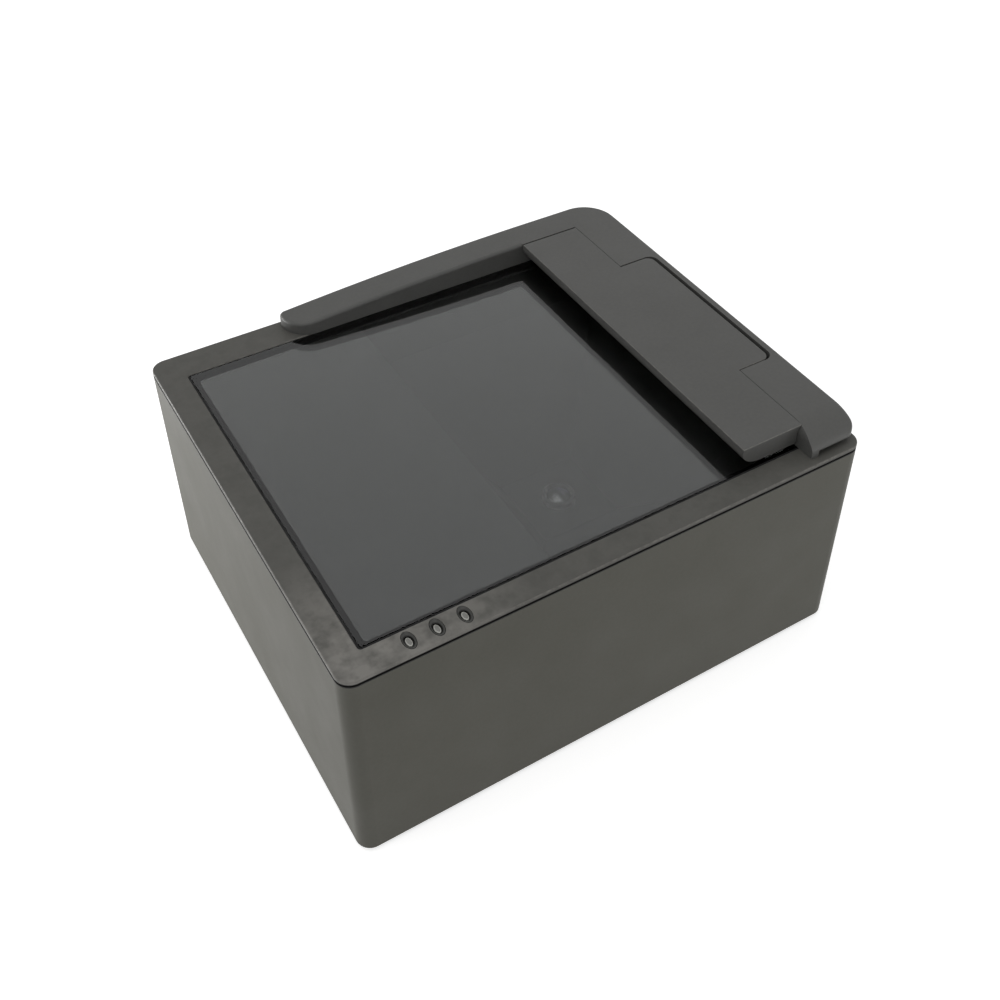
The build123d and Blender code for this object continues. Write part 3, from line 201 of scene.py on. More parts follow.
def make_softbox(name, place, size, power):
    """Large lamp that faces the object."""
    data = bpy.data.lights.new(name, "AREA")
    data.shape = "RECTANGLE"
    data.size, data.size_y = size
    data.energy = power
    lamp = bpy.data.objects.new(name, data)
    bpy.context.scene.collection.objects.link(lamp)
    lamp.location = place
    aim = Vector(LIT_POINT) - Vector(place)
    lamp.rotation_euler = aim.to_track_quat("-Z", "Y").to_euler()


bpy.context.scene.view_settings.view_transform = "Standard"
make_world()
make_floor()
for softbox, (spot, lamp_size, watts) in SOFTBOXES.items():
    make_softbox(softbox, spot, lamp_size, watts)


# Finishes. A pattern is its cells to the metre and its levels of detail.

EDGE_SAMPLES = 6
EDGE_RANGE = (0.80, 0.995)

# Moulded plastic
CLOUD = (22, 4)
CLOUD_TINTS = (0.97, 1.03)
GRAINS_A_SPECK = 3
SPECK_DETAIL = 2
SPECK_AMOUNT = 0.35
SPECK_TINT = 1.22
WORN_TINT = 1.9
GRAIN_DETAIL = 3
WARP = (9, 1)
WARP_DEPTH = 0.05 * MM
MOULD_GLOSS = (60, 5)
DUST = (210, 9)
DUST_RANGE = (0.34, 0.62)
DUST_THINNEST = 0.25
# Breaks and strength of the painted highlight along a rim's top edge
HIGHLIGHT_BREAKS = (650, 4)
HIGHLIGHT_STRENGTH = (0.10, 0.75)

# Rubber
BLOOM = (140, 6)
BLOOM_RANGE = (0.45, 0.75)
BLOOM_TINT = 2.4
RUBBER_GLOSS = (300, 3)
RUBBER_ROUGH = (0.7, 0.9)
RUBBER_SHEEN = 0.35
RUBBER_GRAIN = (1800, 3)
RUBBER_DEPTH = 0.012 * MM

# Metal
DRAWN = (1.0, 4)
DRAWN_STRETCH = (40, 40, 4000)
DRAWN_DEPTH = 0.004 * MM
MARKS = (220, 6)
MARK_RANGE = (0.5, 0.7)
MARK_TINT = 0.72

# Glass
CLEAR_IOR = 1.5
CLEAR_ROUGH = 0.02
SMUDGES = (30, 7)
SMUDGE_RANGE = (0.52, 0.72)
RIPPLE = (14, 2)
RIPPLE_DEPTH = 0.004 * MM

# Circuit boards
TRACK_CELLS = 260
TRACK_GAP = 0.014
TRACK_LENGTH = 2.2
TRACK_PITCH = 0.34
TRACK_OFFSET = 0.37
TRACK_SQUASH = 0.6
TRACK_TINT = 1.25
TRACK_HEIGHT = 0.02 * MM
SOLDER_CELLS = 420
SOLDER_RANGE = (0.10, 0.14)
SOLDER_COLOUR = (0.62, 0.60, 0.55)
SOLDER_HEIGHT = 0.03 * MM
LACQUER = (90, 4)
LACQUER_ROUGH = (0.22, 0.36)

# Milky plastic
MILK_CLOUD = (400, 3)
MILK_TINT = 0.92
MILK_RIM_HIGHLIGHT_TINT = 2.7
MILK_GLOSS = (700, 3)
MILK_ROUGH = (0.30, 0.5)
MILK_SCATTER = 0.35
MILK_REACH = 0.15 * MM
MILK_GRAIN = (2400, 2)
MILK_DEPTH = 0.006 * MM


def new_finish(name):
    """An empty material with its main shader."""
    material = bpy.data.materials.new(name)
    material.use_nodes = True
    tree = material.node_tree
    return material, tree, tree.nodes["Principled BSDF"]


def place_of(tree):
    """Object coordinates in metres."""
    return tree.nodes.new("ShaderNodeTexCoord").outputs["Object"]


def noise(tree, cells, detail, where):
    """Soft random pattern with a number of cells to the metre."""
    grain = tree.nodes.new("ShaderNodeTexNoise")
    grain.inputs["Scale"].default_value = cells
    grain.inputs["Detail"].default_value = detail
    tree.links.new(where, grain.inputs["Vector"])
    return grain.outputs["Fac"]


def spread(tree, value, low, high, from_low=0.3, from_high=0.7):
    """Carry a pattern's middle range onto another range."""
    scale = tree.nodes.new("ShaderNodeMapRange")
    scale.inputs["From Min"].default_value = from_low
    scale.inputs["From Max"].default_value = from_high
    scale.inputs["To Min"].default_value = low
    scale.inputs["To Max"].default_value = high
    tree.links.new(value, scale.inputs["Value"])
    return scale.outputs["Result"]


def roughen(tree, shader, pattern, rough, middle=(0.3, 0.7)):
    """Uneven gloss between two roughnesses, over a pattern's middle range."""
    tree.links.new(spread(tree, pattern, *rough, *middle), shader.inputs["Roughness"])


def blend_colours(tree, amount, first, second):
    """Mix two colours, each a tuple or another node's output."""
    mix = tree.nodes.new("ShaderNodeMix")
    mix.data_type = "RGBA"
    tree.links.new(amount, mix.inputs["Factor"])
    for socket, colour in ((mix.inputs["A"], first), (mix.inputs["B"], second)):
        if isinstance(colour, tuple):
            socket.default_value = (*colour, 1.0)
        else:
            tree.links.new(colour, socket)
    return mix.outputs["Result"]


def worn_edges(tree, radius, strength):
    """How near a surface is to a sharp edge, from 0 to a strength."""
    rounded = tree.nodes.new("ShaderNodeBevel")
    rounded.samples = EDGE_SAMPLES
    rounded.inputs["Radius"].default_value = radius
    true = tree.nodes.new("ShaderNodeNewGeometry")
    agree = tree.nodes.new("ShaderNodeVectorMath")
    agree.operation = "DOT_PRODUCT"
    tree.links.new(rounded.outputs["Normal"], agree.inputs[0])
    tree.links.new(true.outputs["Normal"], agree.inputs[1])
    return spread(tree, agree.outputs["Value"], strength, 0.0, *EDGE_RANGE)


def raise_grain(tree, shader, heights):
    """Bump from a list of (pattern, depth) pairs, laid one on the other."""
    normal = None
    for height, depth in heights:
        bump = tree.nodes.new("ShaderNodeBump")
        bump.inputs["Strength"].default_value = 1.0
        bump.inputs["Distance"].default_value = depth
        tree.links.new(height, bump.inputs["Height"])
        if normal is not None:
            tree.links.new(normal, bump.inputs["Normal"])
        normal = bump.outputs["Normal"]
    tree.links.new(normal, shader.inputs["Normal"])


def height_band(tree, where, low, high):
    """1 between two heights in millimetres, and 0 elsewhere."""
    parts = tree.nodes.new("ShaderNodeSeparateXYZ")
    tree.links.new(where, parts.inputs["Vector"])
    inside = tree.nodes.new("ShaderNodeMath")
    inside.operation = "COMPARE"
    inside.inputs[1].default_value = (low + high) / 2 * MM
    inside.inputs[2].default_value = (high - low) / 2 * MM
    tree.links.new(parts.outputs["Z"], inside.inputs[0])
    return inside.outputs["Value"]


def product(tree, first, second):
    """Two patterns multiplied."""
    times = tree.nodes.new("ShaderNodeMath")
    times.operation = "MULTIPLY"
    tree.links.new(first, times.inputs[0])
    tree.links.new(second, times.inputs[1])
    return times.outputs["Value"]


def dust_and_sheen_amount(tree, where, most):
    """Patchy dusting, thickest round one spot of the deck, where it also paints a brighter sheen.
    """
    thinnest = DUST_THINNEST * most
    patches = spread(tree, noise(tree, *DUST, where), thinnest, most, *DUST_RANGE)
    away = tree.nodes.new("ShaderNodeVectorMath")
    away.operation = "DISTANCE"
    away.inputs[1].default_value = [place * MM for place in DUST_AND_SHEEN_SPOT]
    tree.links.new(where, away.inputs[0])
    near, far = (reach * MM for reach in DUST_AND_SHEEN_REACH)
    thickness = spread(tree, away.outputs["Value"], 1.0, DUST_AND_SHEEN_ELSEWHERE, near, far)
    return product(tree, patches, thickness)


def tinted(colour, factor):
    """A colour made lighter or darker."""
    return tuple(channel * factor for channel in colour)


def moulded(
    name,
    colour,
    rough=(0.51, 0.57),
    grain=2600,
    depth=0.010,
    wear=0.5,
    edge=0.5,
    dust_and_sheen=0.0,
    groove=None,
    rim=None,
    sheen=0.30,
):
    """Moulded plastic: sparked grain, faint clouding, rubbed edges, a dusting that also paints a
    brighter sheen, a painted highlight along a rim's edge and painted shade in a groove.

    The grain's depth, the width of an edge, the groove and the rim are in millimetres.
    """
    material, tree, shader = new_finish(name)
    shader.inputs["Specular IOR Level"].default_value = sheen
    where = place_of(tree)
    cloud = spread(tree, noise(tree, *CLOUD, where), 0.0, 1.0)
    darker, lighter = (tinted(colour, tint) for tint in CLOUD_TINTS)
    base = blend_colours(tree, cloud, darker, lighter)
    specks = noise(tree, grain / GRAINS_A_SPECK, SPECK_DETAIL, where)
    speckled = spread(tree, specks, 0.0, SPECK_AMOUNT)
    base = blend_colours(tree, speckled, base, tinted(colour, SPECK_TINT))
    rubbed = worn_edges(tree, edge * MM, wear)
    base = blend_colours(tree, rubbed, base, tinted(colour, WORN_TINT))
    # Dusting, partly painted sheen: pale patches thickest round the deck's front-left corner
    if dust_and_sheen:
        base = blend_colours(tree, dust_and_sheen_amount(tree, where, dust_and_sheen), base, DUST_AND_HIGHLIGHT_GREY)
    # Painted highlight: a broken pale line along a rim's top edge, between two heights
    if rim:
        broken = spread(tree, noise(tree, *HIGHLIGHT_BREAKS, where), *HIGHLIGHT_STRENGTH)
        line = product(tree, height_band(tree, where, *rim), broken)
        base = blend_colours(tree, line, base, DUST_AND_HIGHLIGHT_GREY)
    # Painted shade: a near-black band between two heights, where a groove lies in shadow
    if groove:
        base = blend_colours(tree, height_band(tree, where, *groove), base, GROOVE_SHADE_GREY)
    tree.links.new(base, shader.inputs["Base Color"])
    roughen(tree, shader, noise(tree, *MOULD_GLOSS, where), rough)
    warp = (noise(tree, *WARP, where), WARP_DEPTH)
    grains = (noise(tree, grain, GRAIN_DETAIL, where), depth * MM)
    raise_grain(tree, shader, [warp, grains])
    return material


def rubbery(name, colour):
    """Soft rubber with a dusty bloom."""
    material, tree, shader = new_finish(name)
    shader.inputs["Specular IOR Level"].default_value = RUBBER_SHEEN
    where = place_of(tree)
    bloom = spread(tree, noise(tree, *BLOOM, where), 0.0, 1.0, *BLOOM_RANGE)
    base = blend_colours(tree, bloom, colour, tinted(colour, BLOOM_TINT))
    tree.links.new(base, shader.inputs["Base Color"])
    roughen(tree, shader, noise(tree, *RUBBER_GLOSS, where), RUBBER_ROUGH)
    raise_grain(tree, shader, [(noise(tree, *RUBBER_GRAIN, where), RUBBER_DEPTH)])
    return material


def metal(name, colour, rough=(0.25, 0.42)):
    """Metal with fine drawn lines and handling marks."""
    material, tree, shader = new_finish(name)
    shader.inputs["Metallic"].default_value = 1.0
    where = place_of(tree)
    drawn = tree.nodes.new("ShaderNodeMapping")
    drawn.inputs["Scale"].default_value = DRAWN_STRETCH
    tree.links.new(where, drawn.inputs["Vector"])
    lines = noise(tree, *DRAWN, drawn.outputs["Vector"])
    marks = spread(tree, noise(tree, *MARKS, where), 0.0, 1.0, *MARK_RANGE)
    base = blend_colours(tree, marks, colour, tinted(colour, MARK_TINT))
    tree.links.new(base, shader.inputs["Base Color"])
    roughen(tree, shader, lines, rough)
    raise_grain(tree, shader, [(lines, DRAWN_DEPTH)])
    return material


def clear(name, colour, smudge=0.10):
    """Clear glass or plastic with faint smudges."""
    material, tree, shader = new_finish(name)
    where = place_of(tree)
    shader.inputs["Base Color"].default_value = (*colour, 1.0)
    shader.inputs["Transmission Weight"].default_value = 1.0
    shader.inputs["IOR"].default_value = CLEAR_IOR
    rough = (CLEAR_ROUGH, CLEAR_ROUGH + smudge)
    roughen(tree, shader, noise(tree, *SMUDGES, where), rough, SMUDGE_RANGE)
    raise_grain(tree, shader, [(noise(tree, *RIPPLE, where), RIPPLE_DEPTH)])
    return material


def board_finish(name, colour, pale):
    """Lacquered circuit board with routed tracks and small pads."""
    material, tree, shader = new_finish(name)
    where = place_of(tree)
    tracks = tree.nodes.new("ShaderNodeTexBrick")
    tracks.offset = TRACK_OFFSET
    tracks.squash = TRACK_SQUASH
    tracks.inputs["Scale"].default_value = TRACK_CELLS
    tracks.inputs["Mortar Size"].default_value = TRACK_GAP
    tracks.inputs["Brick Width"].default_value = TRACK_LENGTH
    tracks.inputs["Row Height"].default_value = TRACK_PITCH
    tree.links.new(where, tracks.inputs["Vector"])
    tracks.inputs["Color1"].default_value = (*colour, 1.0)
    tracks.inputs["Color2"].default_value = (*tinted(colour, TRACK_TINT), 1.0)
    tracks.inputs["Mortar"].default_value = (*pale, 1.0)
    pads = tree.nodes.new("ShaderNodeTexVoronoi")
    pads.inputs["Scale"].default_value = SOLDER_CELLS
    tree.links.new(where, pads.inputs["Vector"])
    dots = spread(tree, pads.outputs["Distance"], 1.0, 0.0, *SOLDER_RANGE)
    base = blend_colours(tree, dots, tracks.outputs["Color"], SOLDER_COLOUR)
    tree.links.new(base, shader.inputs["Base Color"])
    roughen(tree, shader, noise(tree, *LACQUER, where), LACQUER_ROUGH)
    raise_grain(tree, shader, [(tracks.outputs["Fac"], TRACK_HEIGHT), (dots, SOLDER_HEIGHT)])
    return material


def milky(name, colour, rim=None):
    """Milky plastic or a lamp chip, with a painted highlight on the rim between two heights if
    they are given.
    """
    material, tree, shader = new_finish(name)
    where = place_of(tree)
    cloud = spread(tree, noise(tree, *MILK_CLOUD, where), 0.0, 1.0)
    base = blend_colours(tree, cloud, tinted(colour, MILK_TINT), colour)
    # Painted highlight: a paler band round the top, between two heights
    if rim:
        band = height_band(tree, where, *rim)
        base = blend_colours(tree, band, base, tinted(colour, MILK_RIM_HIGHLIGHT_TINT))
    tree.links.new(base, shader.inputs["Base Color"])
    roughen(tree, shader, noise(tree, *MILK_GLOSS, where), MILK_ROUGH)
    shader.inputs["Subsurface Weight"].default_value = MILK_SCATTER
    shader.inputs["Subsurface Radius"].default_value = (1.0, 1.0, 1.0)
    shader.inputs["Subsurface Scale"].default_value = MILK_REACH
    raise_grain(tree, shader, [(noise(tree, *MILK_GRAIN, where), MILK_DEPTH)])
    return material


COVER = {"rough": (0.42, 0.54), "wear": 0.12, "dust_and_sheen": 0.12}

# One finish for each slot of the record: its maker, colour and options
FINISHES = {
    # Groove bands are painted shade, rim bands are painted highlights, and the deck's dusting also
    # paints a brighter sheen
    "case_walls": (moulded, CASE_GREY, {"groove": GROOVE_SHADE}),
    "deck_plastic": (moulded, DECK_GREY, {"dust_and_sheen": 1.0, "groove": GROOVE_SHADE, "rim": DECK_RIM_HIGHLIGHT}),
    "hood_plastic": (moulded, HOOD_GREY, COVER),
    # The flap's rim band is a painted highlight along its top edges
    "flap_plastic": (moulded, HOOD_GREY, {**COVER, "rim": FLAP_EDGE_HIGHLIGHT}),
    "underplate_plastic": (moulded, SOFT_BLACK, {}),
    "base_plastic": (moulded, tinted(CASE_GREY, 0.7), {"grain": 1500, "depth": 0.02}),
    "socket_trim": (moulded, tinted(SOFT_BLACK, 1.6), {"wear": 0.35}),
    "pad_rubber": (rubbery, SOFT_BLACK, {}),
    "gasket_rubber": (rubbery, DEEP_BLACK, {}),
    "foot_rubber": (rubbery, tinted(SOFT_BLACK, 1.3), {}),
    "window_glass": (clear, (0.93, 0.96, 0.95), {}),
    "lens_glass": (clear, (0.55, 0.50, 0.72), {"smudge": 0.02}),
    "frame_plastic": (moulded, DEEP_BLACK, {"rough": (0.7, 0.85), "wear": 0.15, "sheen": 0.12}),
    "light_box_plastic": (
        moulded, DEEP_BLACK, {"rough": (0.75, 0.9), "wear": 0.1, "sheen": 0.12},
    ),
    "diffuser_plastic": (milky, (0.62, 0.63, 0.62), {}),
    # The bore band paints shade inside the ring, round the light pipe
    "bezel_plastic": (
        moulded, RING_GREY, {"rough": (0.35, 0.45), "wear": 0.3, "edge": 0.2, "groove": RING_BORE_SHADE},
    ),
    "pipe_plastic": (milky, PIPE_GREY, {"rim": PIPE_RIM_HIGHLIGHT}),
    "light_board": (board_finish, (0.62, 0.62, 0.58), {"pale": (0.48, 0.48, 0.44)}),
    "circuit_board": (board_finish, (0.010, 0.085, 0.035), {"pale": (0.03, 0.19, 0.08)}),
    "emitter": (milky, (0.78, 0.66, 0.30), {}),
    "chip": (moulded, tinted(SOFT_BLACK, 1.2), {"rough": (0.4, 0.55), "grain": 4000}),
    "lens_plastic": (moulded, SOFT_BLACK, {"rough": (0.4, 0.5), "grain": 4200}),
    "copper": (metal, (0.72, 0.36, 0.20), {}),
    "sink_aluminium": (metal, (0.50, 0.51, 0.53), {}),
    "can_aluminium": (metal, (0.70, 0.70, 0.71), {}),
    "buzzer_plastic": (moulded, tinted(SOFT_BLACK, 1.5), {}),
    "plug_plastic": (moulded, (0.56, 0.52, 0.40), {"wear": 0.1}),
    "socket_steel": (metal, (0.58, 0.58, 0.58), {}),
    "tongue_plastic": (moulded, (0.66, 0.66, 0.64), {"wear": 0.05}),
    "lead_film": (moulded, (0.46, 0.25, 0.06), {"rough": (0.2, 0.3), "wear": 0.1}),
    "screw_steel": (metal, (0.46, 0.46, 0.47), {}),
    "pin_steel": (metal, (0.62, 0.62, 0.63), {"rough": (0.15, 0.25)}),
    "spring_steel": (metal, (0.50, 0.50, 0.52), {}),
}

finishes = {
    name: make(name, colour, **options) for name, (make, colour, options) in FINISHES.items()
}
slot_of = {entry["node"]: entry["material_slot"] for entry in frame["record"]["subparts"]}
for node_name, cad_piece in frame["nodes"].items():
    for slot in cad_piece.material_slots:
        slot.material = finishes[slot_of[node_name]]


# Modelling tools


def begin_edit(piece):
    """Open a piece for editing with nothing selected."""
    deselect()
    piece.select_set(True)
    bpy.context.view_layer.objects.active = piece
    bpy.ops.object.mode_set(mode="EDIT")
    bpy.ops.mesh.select_mode(type="FACE")
    bpy.ops.mesh.select_all(action="DESELECT")


def pick_faces(test):
    """Select the faces of the edited piece whose centre and normal pass a test."""
    bpy.ops.object.mode_set(mode="OBJECT")
    for face in bpy.context.object.data.polygons:
        face.select = test(face.center, face.normal)
    bpy.ops.object.mode_set(mode="EDIT")


def pick_edges(test):
    """Select the edges of the edited piece whose two ends pass a test."""
    bpy.ops.mesh.select_mode(type="EDGE")
    bpy.ops.mesh.select_all(action="DESELECT")
    bpy.ops.object.mode_set(mode="OBJECT")
    mesh = bpy.context.object.data
    for edge in mesh.edges:
        edge.select = test(*(mesh.vertices[index].co for index in edge.vertices))
    bpy.ops.object.mode_set(mode="EDIT")


def facing(direction):
    """Test for faces that look one way."""
    return lambda centre, normal: normal.dot(Vector(direction)) > STRAIGHT


def grow_out(step, size=1.0):
    """Extrude what is selected by a step and resize it about its own middle."""
    bpy.ops.mesh.extrude_region_move(TRANSFORM_OT_translate={"value": step})
    if size != 1.0:
        bpy.ops.transform.resize(value=(size, size, size))


def close_up():
    """Merge what meets in the edited piece and turn its faces outwards."""
    bpy.ops.mesh.select_all(action="SELECT")
    bpy.ops.mesh.remove_doubles(threshold=WELD)
    bpy.ops.mesh.normals_make_consistent(inside=False)


def settle(piece):
    """Put the piece's place into its mesh and shade it by angle."""
    deselect()
    piece.select_set(True)
    bpy.context.view_layer.objects.active = piece
    bpy.ops.object.transform_apply(location=True, rotation=True, scale=True)
    bpy.ops.object.shade_smooth_by_angle(angle=SMOOTH_ANGLE)
    deselect()
    return piece


def finished(piece, slot, node=None):
    """Finish and CAD node of a settled piece."""
    piece.data.materials.clear()
    piece.data.materials.append(finishes[slot])
    if node:
        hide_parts(node)


def dressed(piece, slot, node=None, body="case"):
    """Body, finish and CAD node of a settled piece."""
    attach(piece, body)
    finished(piece, slot, node)


def copied(piece, name, shift):
    """A copy of a settled piece with its own mesh, moved by a shift."""
    deselect()
    piece.select_set(True)
    bpy.context.view_layer.objects.active = piece
    bpy.ops.object.duplicate()
    copy = bpy.context.object
    copy.name = name
    bpy.ops.transform.translate(value=shift)
    bpy.ops.object.transform_apply(location=True, rotation=False, scale=False)
    deselect()
    return copy


def joined(pieces, name):
    """Several settled pieces as one."""
    deselect()
    for piece in pieces:
        piece.select_set(True)
    bpy.context.view_layer.objects.active = pieces[0]
    bpy.ops.object.join()
    pieces[0].name = name
    deselect()
    return pieces[0]


def repeated(piece, name, places):
    """The piece, made at the first place, copied to all the places and joined."""
    shifts = [place - places[0] for place in places]
    copies = [copied(piece, f"{name}_{number}", shift) for number, shift in enumerate(shifts)]
    bpy.data.objects.remove(piece)
    return joined(copies, name)


def turned(name, place, section, base, sides, hollow=False):
    """Piece round an upright axis, from rings in millimetres.

    A ring is a radius and a height, or for an oval a half width, half length and height.
    """
    rings = [(ring[0] * MM, ring[-2] * MM, base + ring[-1] * MM) for ring in section]
    if hollow:
        rings.append(rings[0])
    width, length, height = rings[0]
    deselect()
    bpy.ops.mesh.primitive_circle_add(
        vertices=sides,
        radius=width,
        fill_type="NOTHING" if hollow else "NGON",
        location=(place[0], place[1], height),
    )
    piece = bpy.context.object
    piece.name = name
    bpy.ops.object.mode_set(mode="EDIT")
    bpy.ops.mesh.select_mode(type="EDGE" if hollow else "FACE")
    bpy.ops.mesh.select_all(action="SELECT")
    middle = (place[0], place[1], height)
    bpy.ops.transform.resize(value=(1, length / width, 1), center_override=middle)
    for next_width, next_length, next_height in rings[1:]:
        grow_out((0, 0, next_height - height))
        size = (next_width / width, next_length / length, 1)
        middle = (place[0], place[1], next_height)
        bpy.ops.transform.resize(value=size, center_override=middle)
        width, length, height = next_width, next_length, next_height
    close_up()
    return settle(piece)


def cushioned(name, low, high, edge, segments=2):
    """Block between two corners with rounded edges."""
    low, high = Vector(low), Vector(high)
    deselect()
    bpy.ops.mesh.primitive_cube_add(size=1.0, location=(low + high) / 2)
    piece = bpy.context.object
    piece.name = name
    piece.scale = high - low
    bpy.ops.object.transform_apply(location=False, rotation=False, scale=True)
    begin_edit(piece)
    bpy.ops.mesh.select_all(action="SELECT")
    bpy.ops.mesh.bevel(offset=edge, segments=segments, affect="EDGES")
    return settle(piece)


def middle_of(pair):
    """Centre of a box."""
    return (pair[0] + pair[1]) / 2


def solid_boxes(node):
    """Boxes of the separate solids of a CAD node, in order of place."""
    deselect()
    measured = bpy.data.objects.new("measured", frame["nodes"][node].data.copy())
    bpy.context.scene.collection.objects.link(measured)
    begin_edit(measured)
    bpy.ops.mesh.select_all(action="SELECT")
    bpy.ops.mesh.remove_doubles(threshold=WELD)
    bpy.ops.mesh.separate(type="LOOSE")
    bpy.ops.object.mode_set(mode="OBJECT")
    boxes = []
    for solid in bpy.context.selected_objects:
        points = [point.co for point in solid.data.vertices]
        low = Vector(min(point[axis] for point in points) for axis in range(3))
        high = Vector(max(point[axis] for point in points) for axis in range(3))
        boxes.append((low, high))
    bpy.ops.object.delete()
    return sorted(boxes, key=lambda pair: tuple(round(value / MM, 1) for value in pair[0]))


# Indicators, oval: half width, half length, and height from the ring's top

RING_SECTION = (
    (1.55, 2.25, -1.80), (1.55, 2.25, -1.00), (2.00, 3.25, -1.00), (2.00, 3.25, -0.50),
    (1.87, 3.12, -0.10), (1.83, 3.08, -0.02), (1.77, 3.01, 0.0), (1.68, 2.90, -0.06),
    (1.38, 2.25, -0.50), (1.28, 2.00, -0.66), (1.25, 1.95, -0.80), (1.25, 1.95, -1.26),
    (1.21, 1.91, -1.30), (0.96, 1.66, -1.30), (0.95, 1.65, -1.36), (0.95, 1.65, -1.80),
)
PIPE_SECTION = (
    (0.90, 1.60, -8.55), (0.90, 1.60, -0.90), (0.885, 1.585, -0.80), (0.84, 1.54, -0.715),
    (0.76, 1.45, -0.65), (0.62, 1.27, -0.60), (0.42, 0.95, -0.568), (0.18, 0.50, -0.553),
    (0.03, 0.10, -0.55),
)


def make_indicators():
    """A dished ring and a domed light pipe, copied to the three places."""
    places = [middle_of(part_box(f"indicator_bezel_{number}")) for number in (1, 2, 3)]
    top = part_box("indicator_bezel_1")[1].z
    rings = [turned("indicator_ring_1", places[0], RING_SECTION, top, sides=56, hollow=True)]
    pipes = [turned("indicator_lens_1", places[0], PIPE_SECTION, top, sides=40)]
    for number in (2, 3):
        shift = places[number - 1] - places[0]
        rings.append(copied(rings[0], f"indicator_ring_{number}", shift))
        pipes.append(copied(pipes[0], f"indicator_lens_{number}", shift))
    for number, (ring, pipe) in enumerate(zip(rings, pipes), 1):
        dressed(ring, "bezel_plastic", f"indicator_bezel_{number}")
        dressed(pipe, "pipe_plastic", f"light_pipe_{number}")


# Feet: radius, and height from the ground

FOOT_SECTION = (
    (7.90, 3.0), (8.0, 2.9), (8.0, 0.80), (7.86, 0.42), (7.55, 0.13), (7.20, 0.0), (6.30, 0.0),
    (6.16, 0.10), (6.10, 0.45), (5.30, 0.45), (5.24, 0.10), (5.10, 0.0), (3.90, 0.0),
    (3.76, 0.10), (3.70, 0.45), (2.90, 0.45), (2.84, 0.10), (2.70, 0.0), (1.50, 0.0),
    (1.30, 0.12), (1.20, 0.70), (0.10, 0.75),
)


def make_feet():
    """A moulded foot with grip grooves, at the four corners."""
    places = [middle_of(pair) for pair in solid_boxes("rubber_feet")]
    foot = turned("moulded_feet", places[0], FOOT_SECTION, 0.0, sides=64)
    dressed(repeated(foot, "moulded_feet", places), "foot_rubber", "rubber_feet")


# Flap springs

WIRE = 0.5 * MM
WIRE_SIDES = 12
RING_REACH = 0.55 * WIRE
RING_LEVEL = WIRE / 40
COIL_RADIUS = 1.75 * MM
COIL_TURNS = 6.5
STEPS_A_TURN = 26
ELBOW = 0.32 * MM
ELBOW_STEPS = 6


def wire_end(place):
    """Test for the edges of the wire's ring that lies level round a place."""
    return lambda first, second: all(
        (point - place).length < RING_REACH and abs(point.z - place.z) < RING_LEVEL
        for point in (first, second)
    )


def make_spring(name, node, hinge):
    """Coil round the hinge pin, with an arm under the flap's tab and a leg at its rib."""
    low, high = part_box(node)
    start = Vector((hinge.x + COIL_RADIUS, low.y + WIRE / 2, hinge.z))
    end = Vector((hinge.x - COIL_RADIUS, high.y - WIRE / 2, hinge.z))
    deselect()
    bpy.ops.mesh.primitive_circle_add(
        vertices=WIRE_SIDES, radius=WIRE / 2, fill_type="NOTHING"
    )
    spring = bpy.context.object
    spring.name = name
    bpy.ops.object.mode_set(mode="EDIT")
    bpy.ops.mesh.select_all(action="SELECT")
    bpy.ops.transform.translate(value=(COIL_RADIUS, 0, 0))
    bpy.ops.object.mode_set(mode="OBJECT")
    wind = spring.modifiers.new("wind", "SCREW")
    wind.axis = "Y"
    wind.angle = -2 * math.pi * COIL_TURNS
    wind.screw_offset = end.y - start.y
    wind.steps = int(STEPS_A_TURN * COIL_TURNS)
    wind.render_steps = wind.steps
    bpy.ops.object.modifier_apply(modifier="wind")
    bpy.ops.transform.translate(value=(hinge.x, start.y, hinge.z))
    bpy.ops.object.transform_apply(location=True, rotation=False, scale=False)
    begin_edit(spring)
    pick_edges(wire_end(end))
    grow_out((0, 0, low.z - end.z))
    bpy.ops.mesh.edge_face_add()
    pick_edges(wire_end(start))
    elbow = (start.x + ELBOW, start.y, start.z)
    quarter = math.radians(90)
    bpy.ops.mesh.spin(steps=ELBOW_STEPS, angle=quarter, center=elbow, axis=(0, 1, 0))
    grow_out((high.x - elbow[0], 0, 0))
    bpy.ops.mesh.edge_face_add()
    close_up()
    finished(settle(spring), "spring_steel", node)
    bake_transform(spring)


def make_springs():
    """Both torsion springs of the flap."""
    hinge = Vector(frame["record"]["behaviour"]["joints"][0]["pos_m"])
    make_spring("front_torsion_spring", "flap_spring_front", hinge)
    make_spring("rear_torsion_spring", "flap_spring_rear", hinge)


# Flap pad

PAD_EDGE = 0.35 * MM
PAD_EDGE_STEPS = 3
PAD_CORNER = 2.0 * MM
PAD_CORNER_STEPS = 8
PAD_HOLE_GAP = 0.6 * MM
PUNCH_DEPTH = 8.0 * MM
PUNCH_SIDES = 40


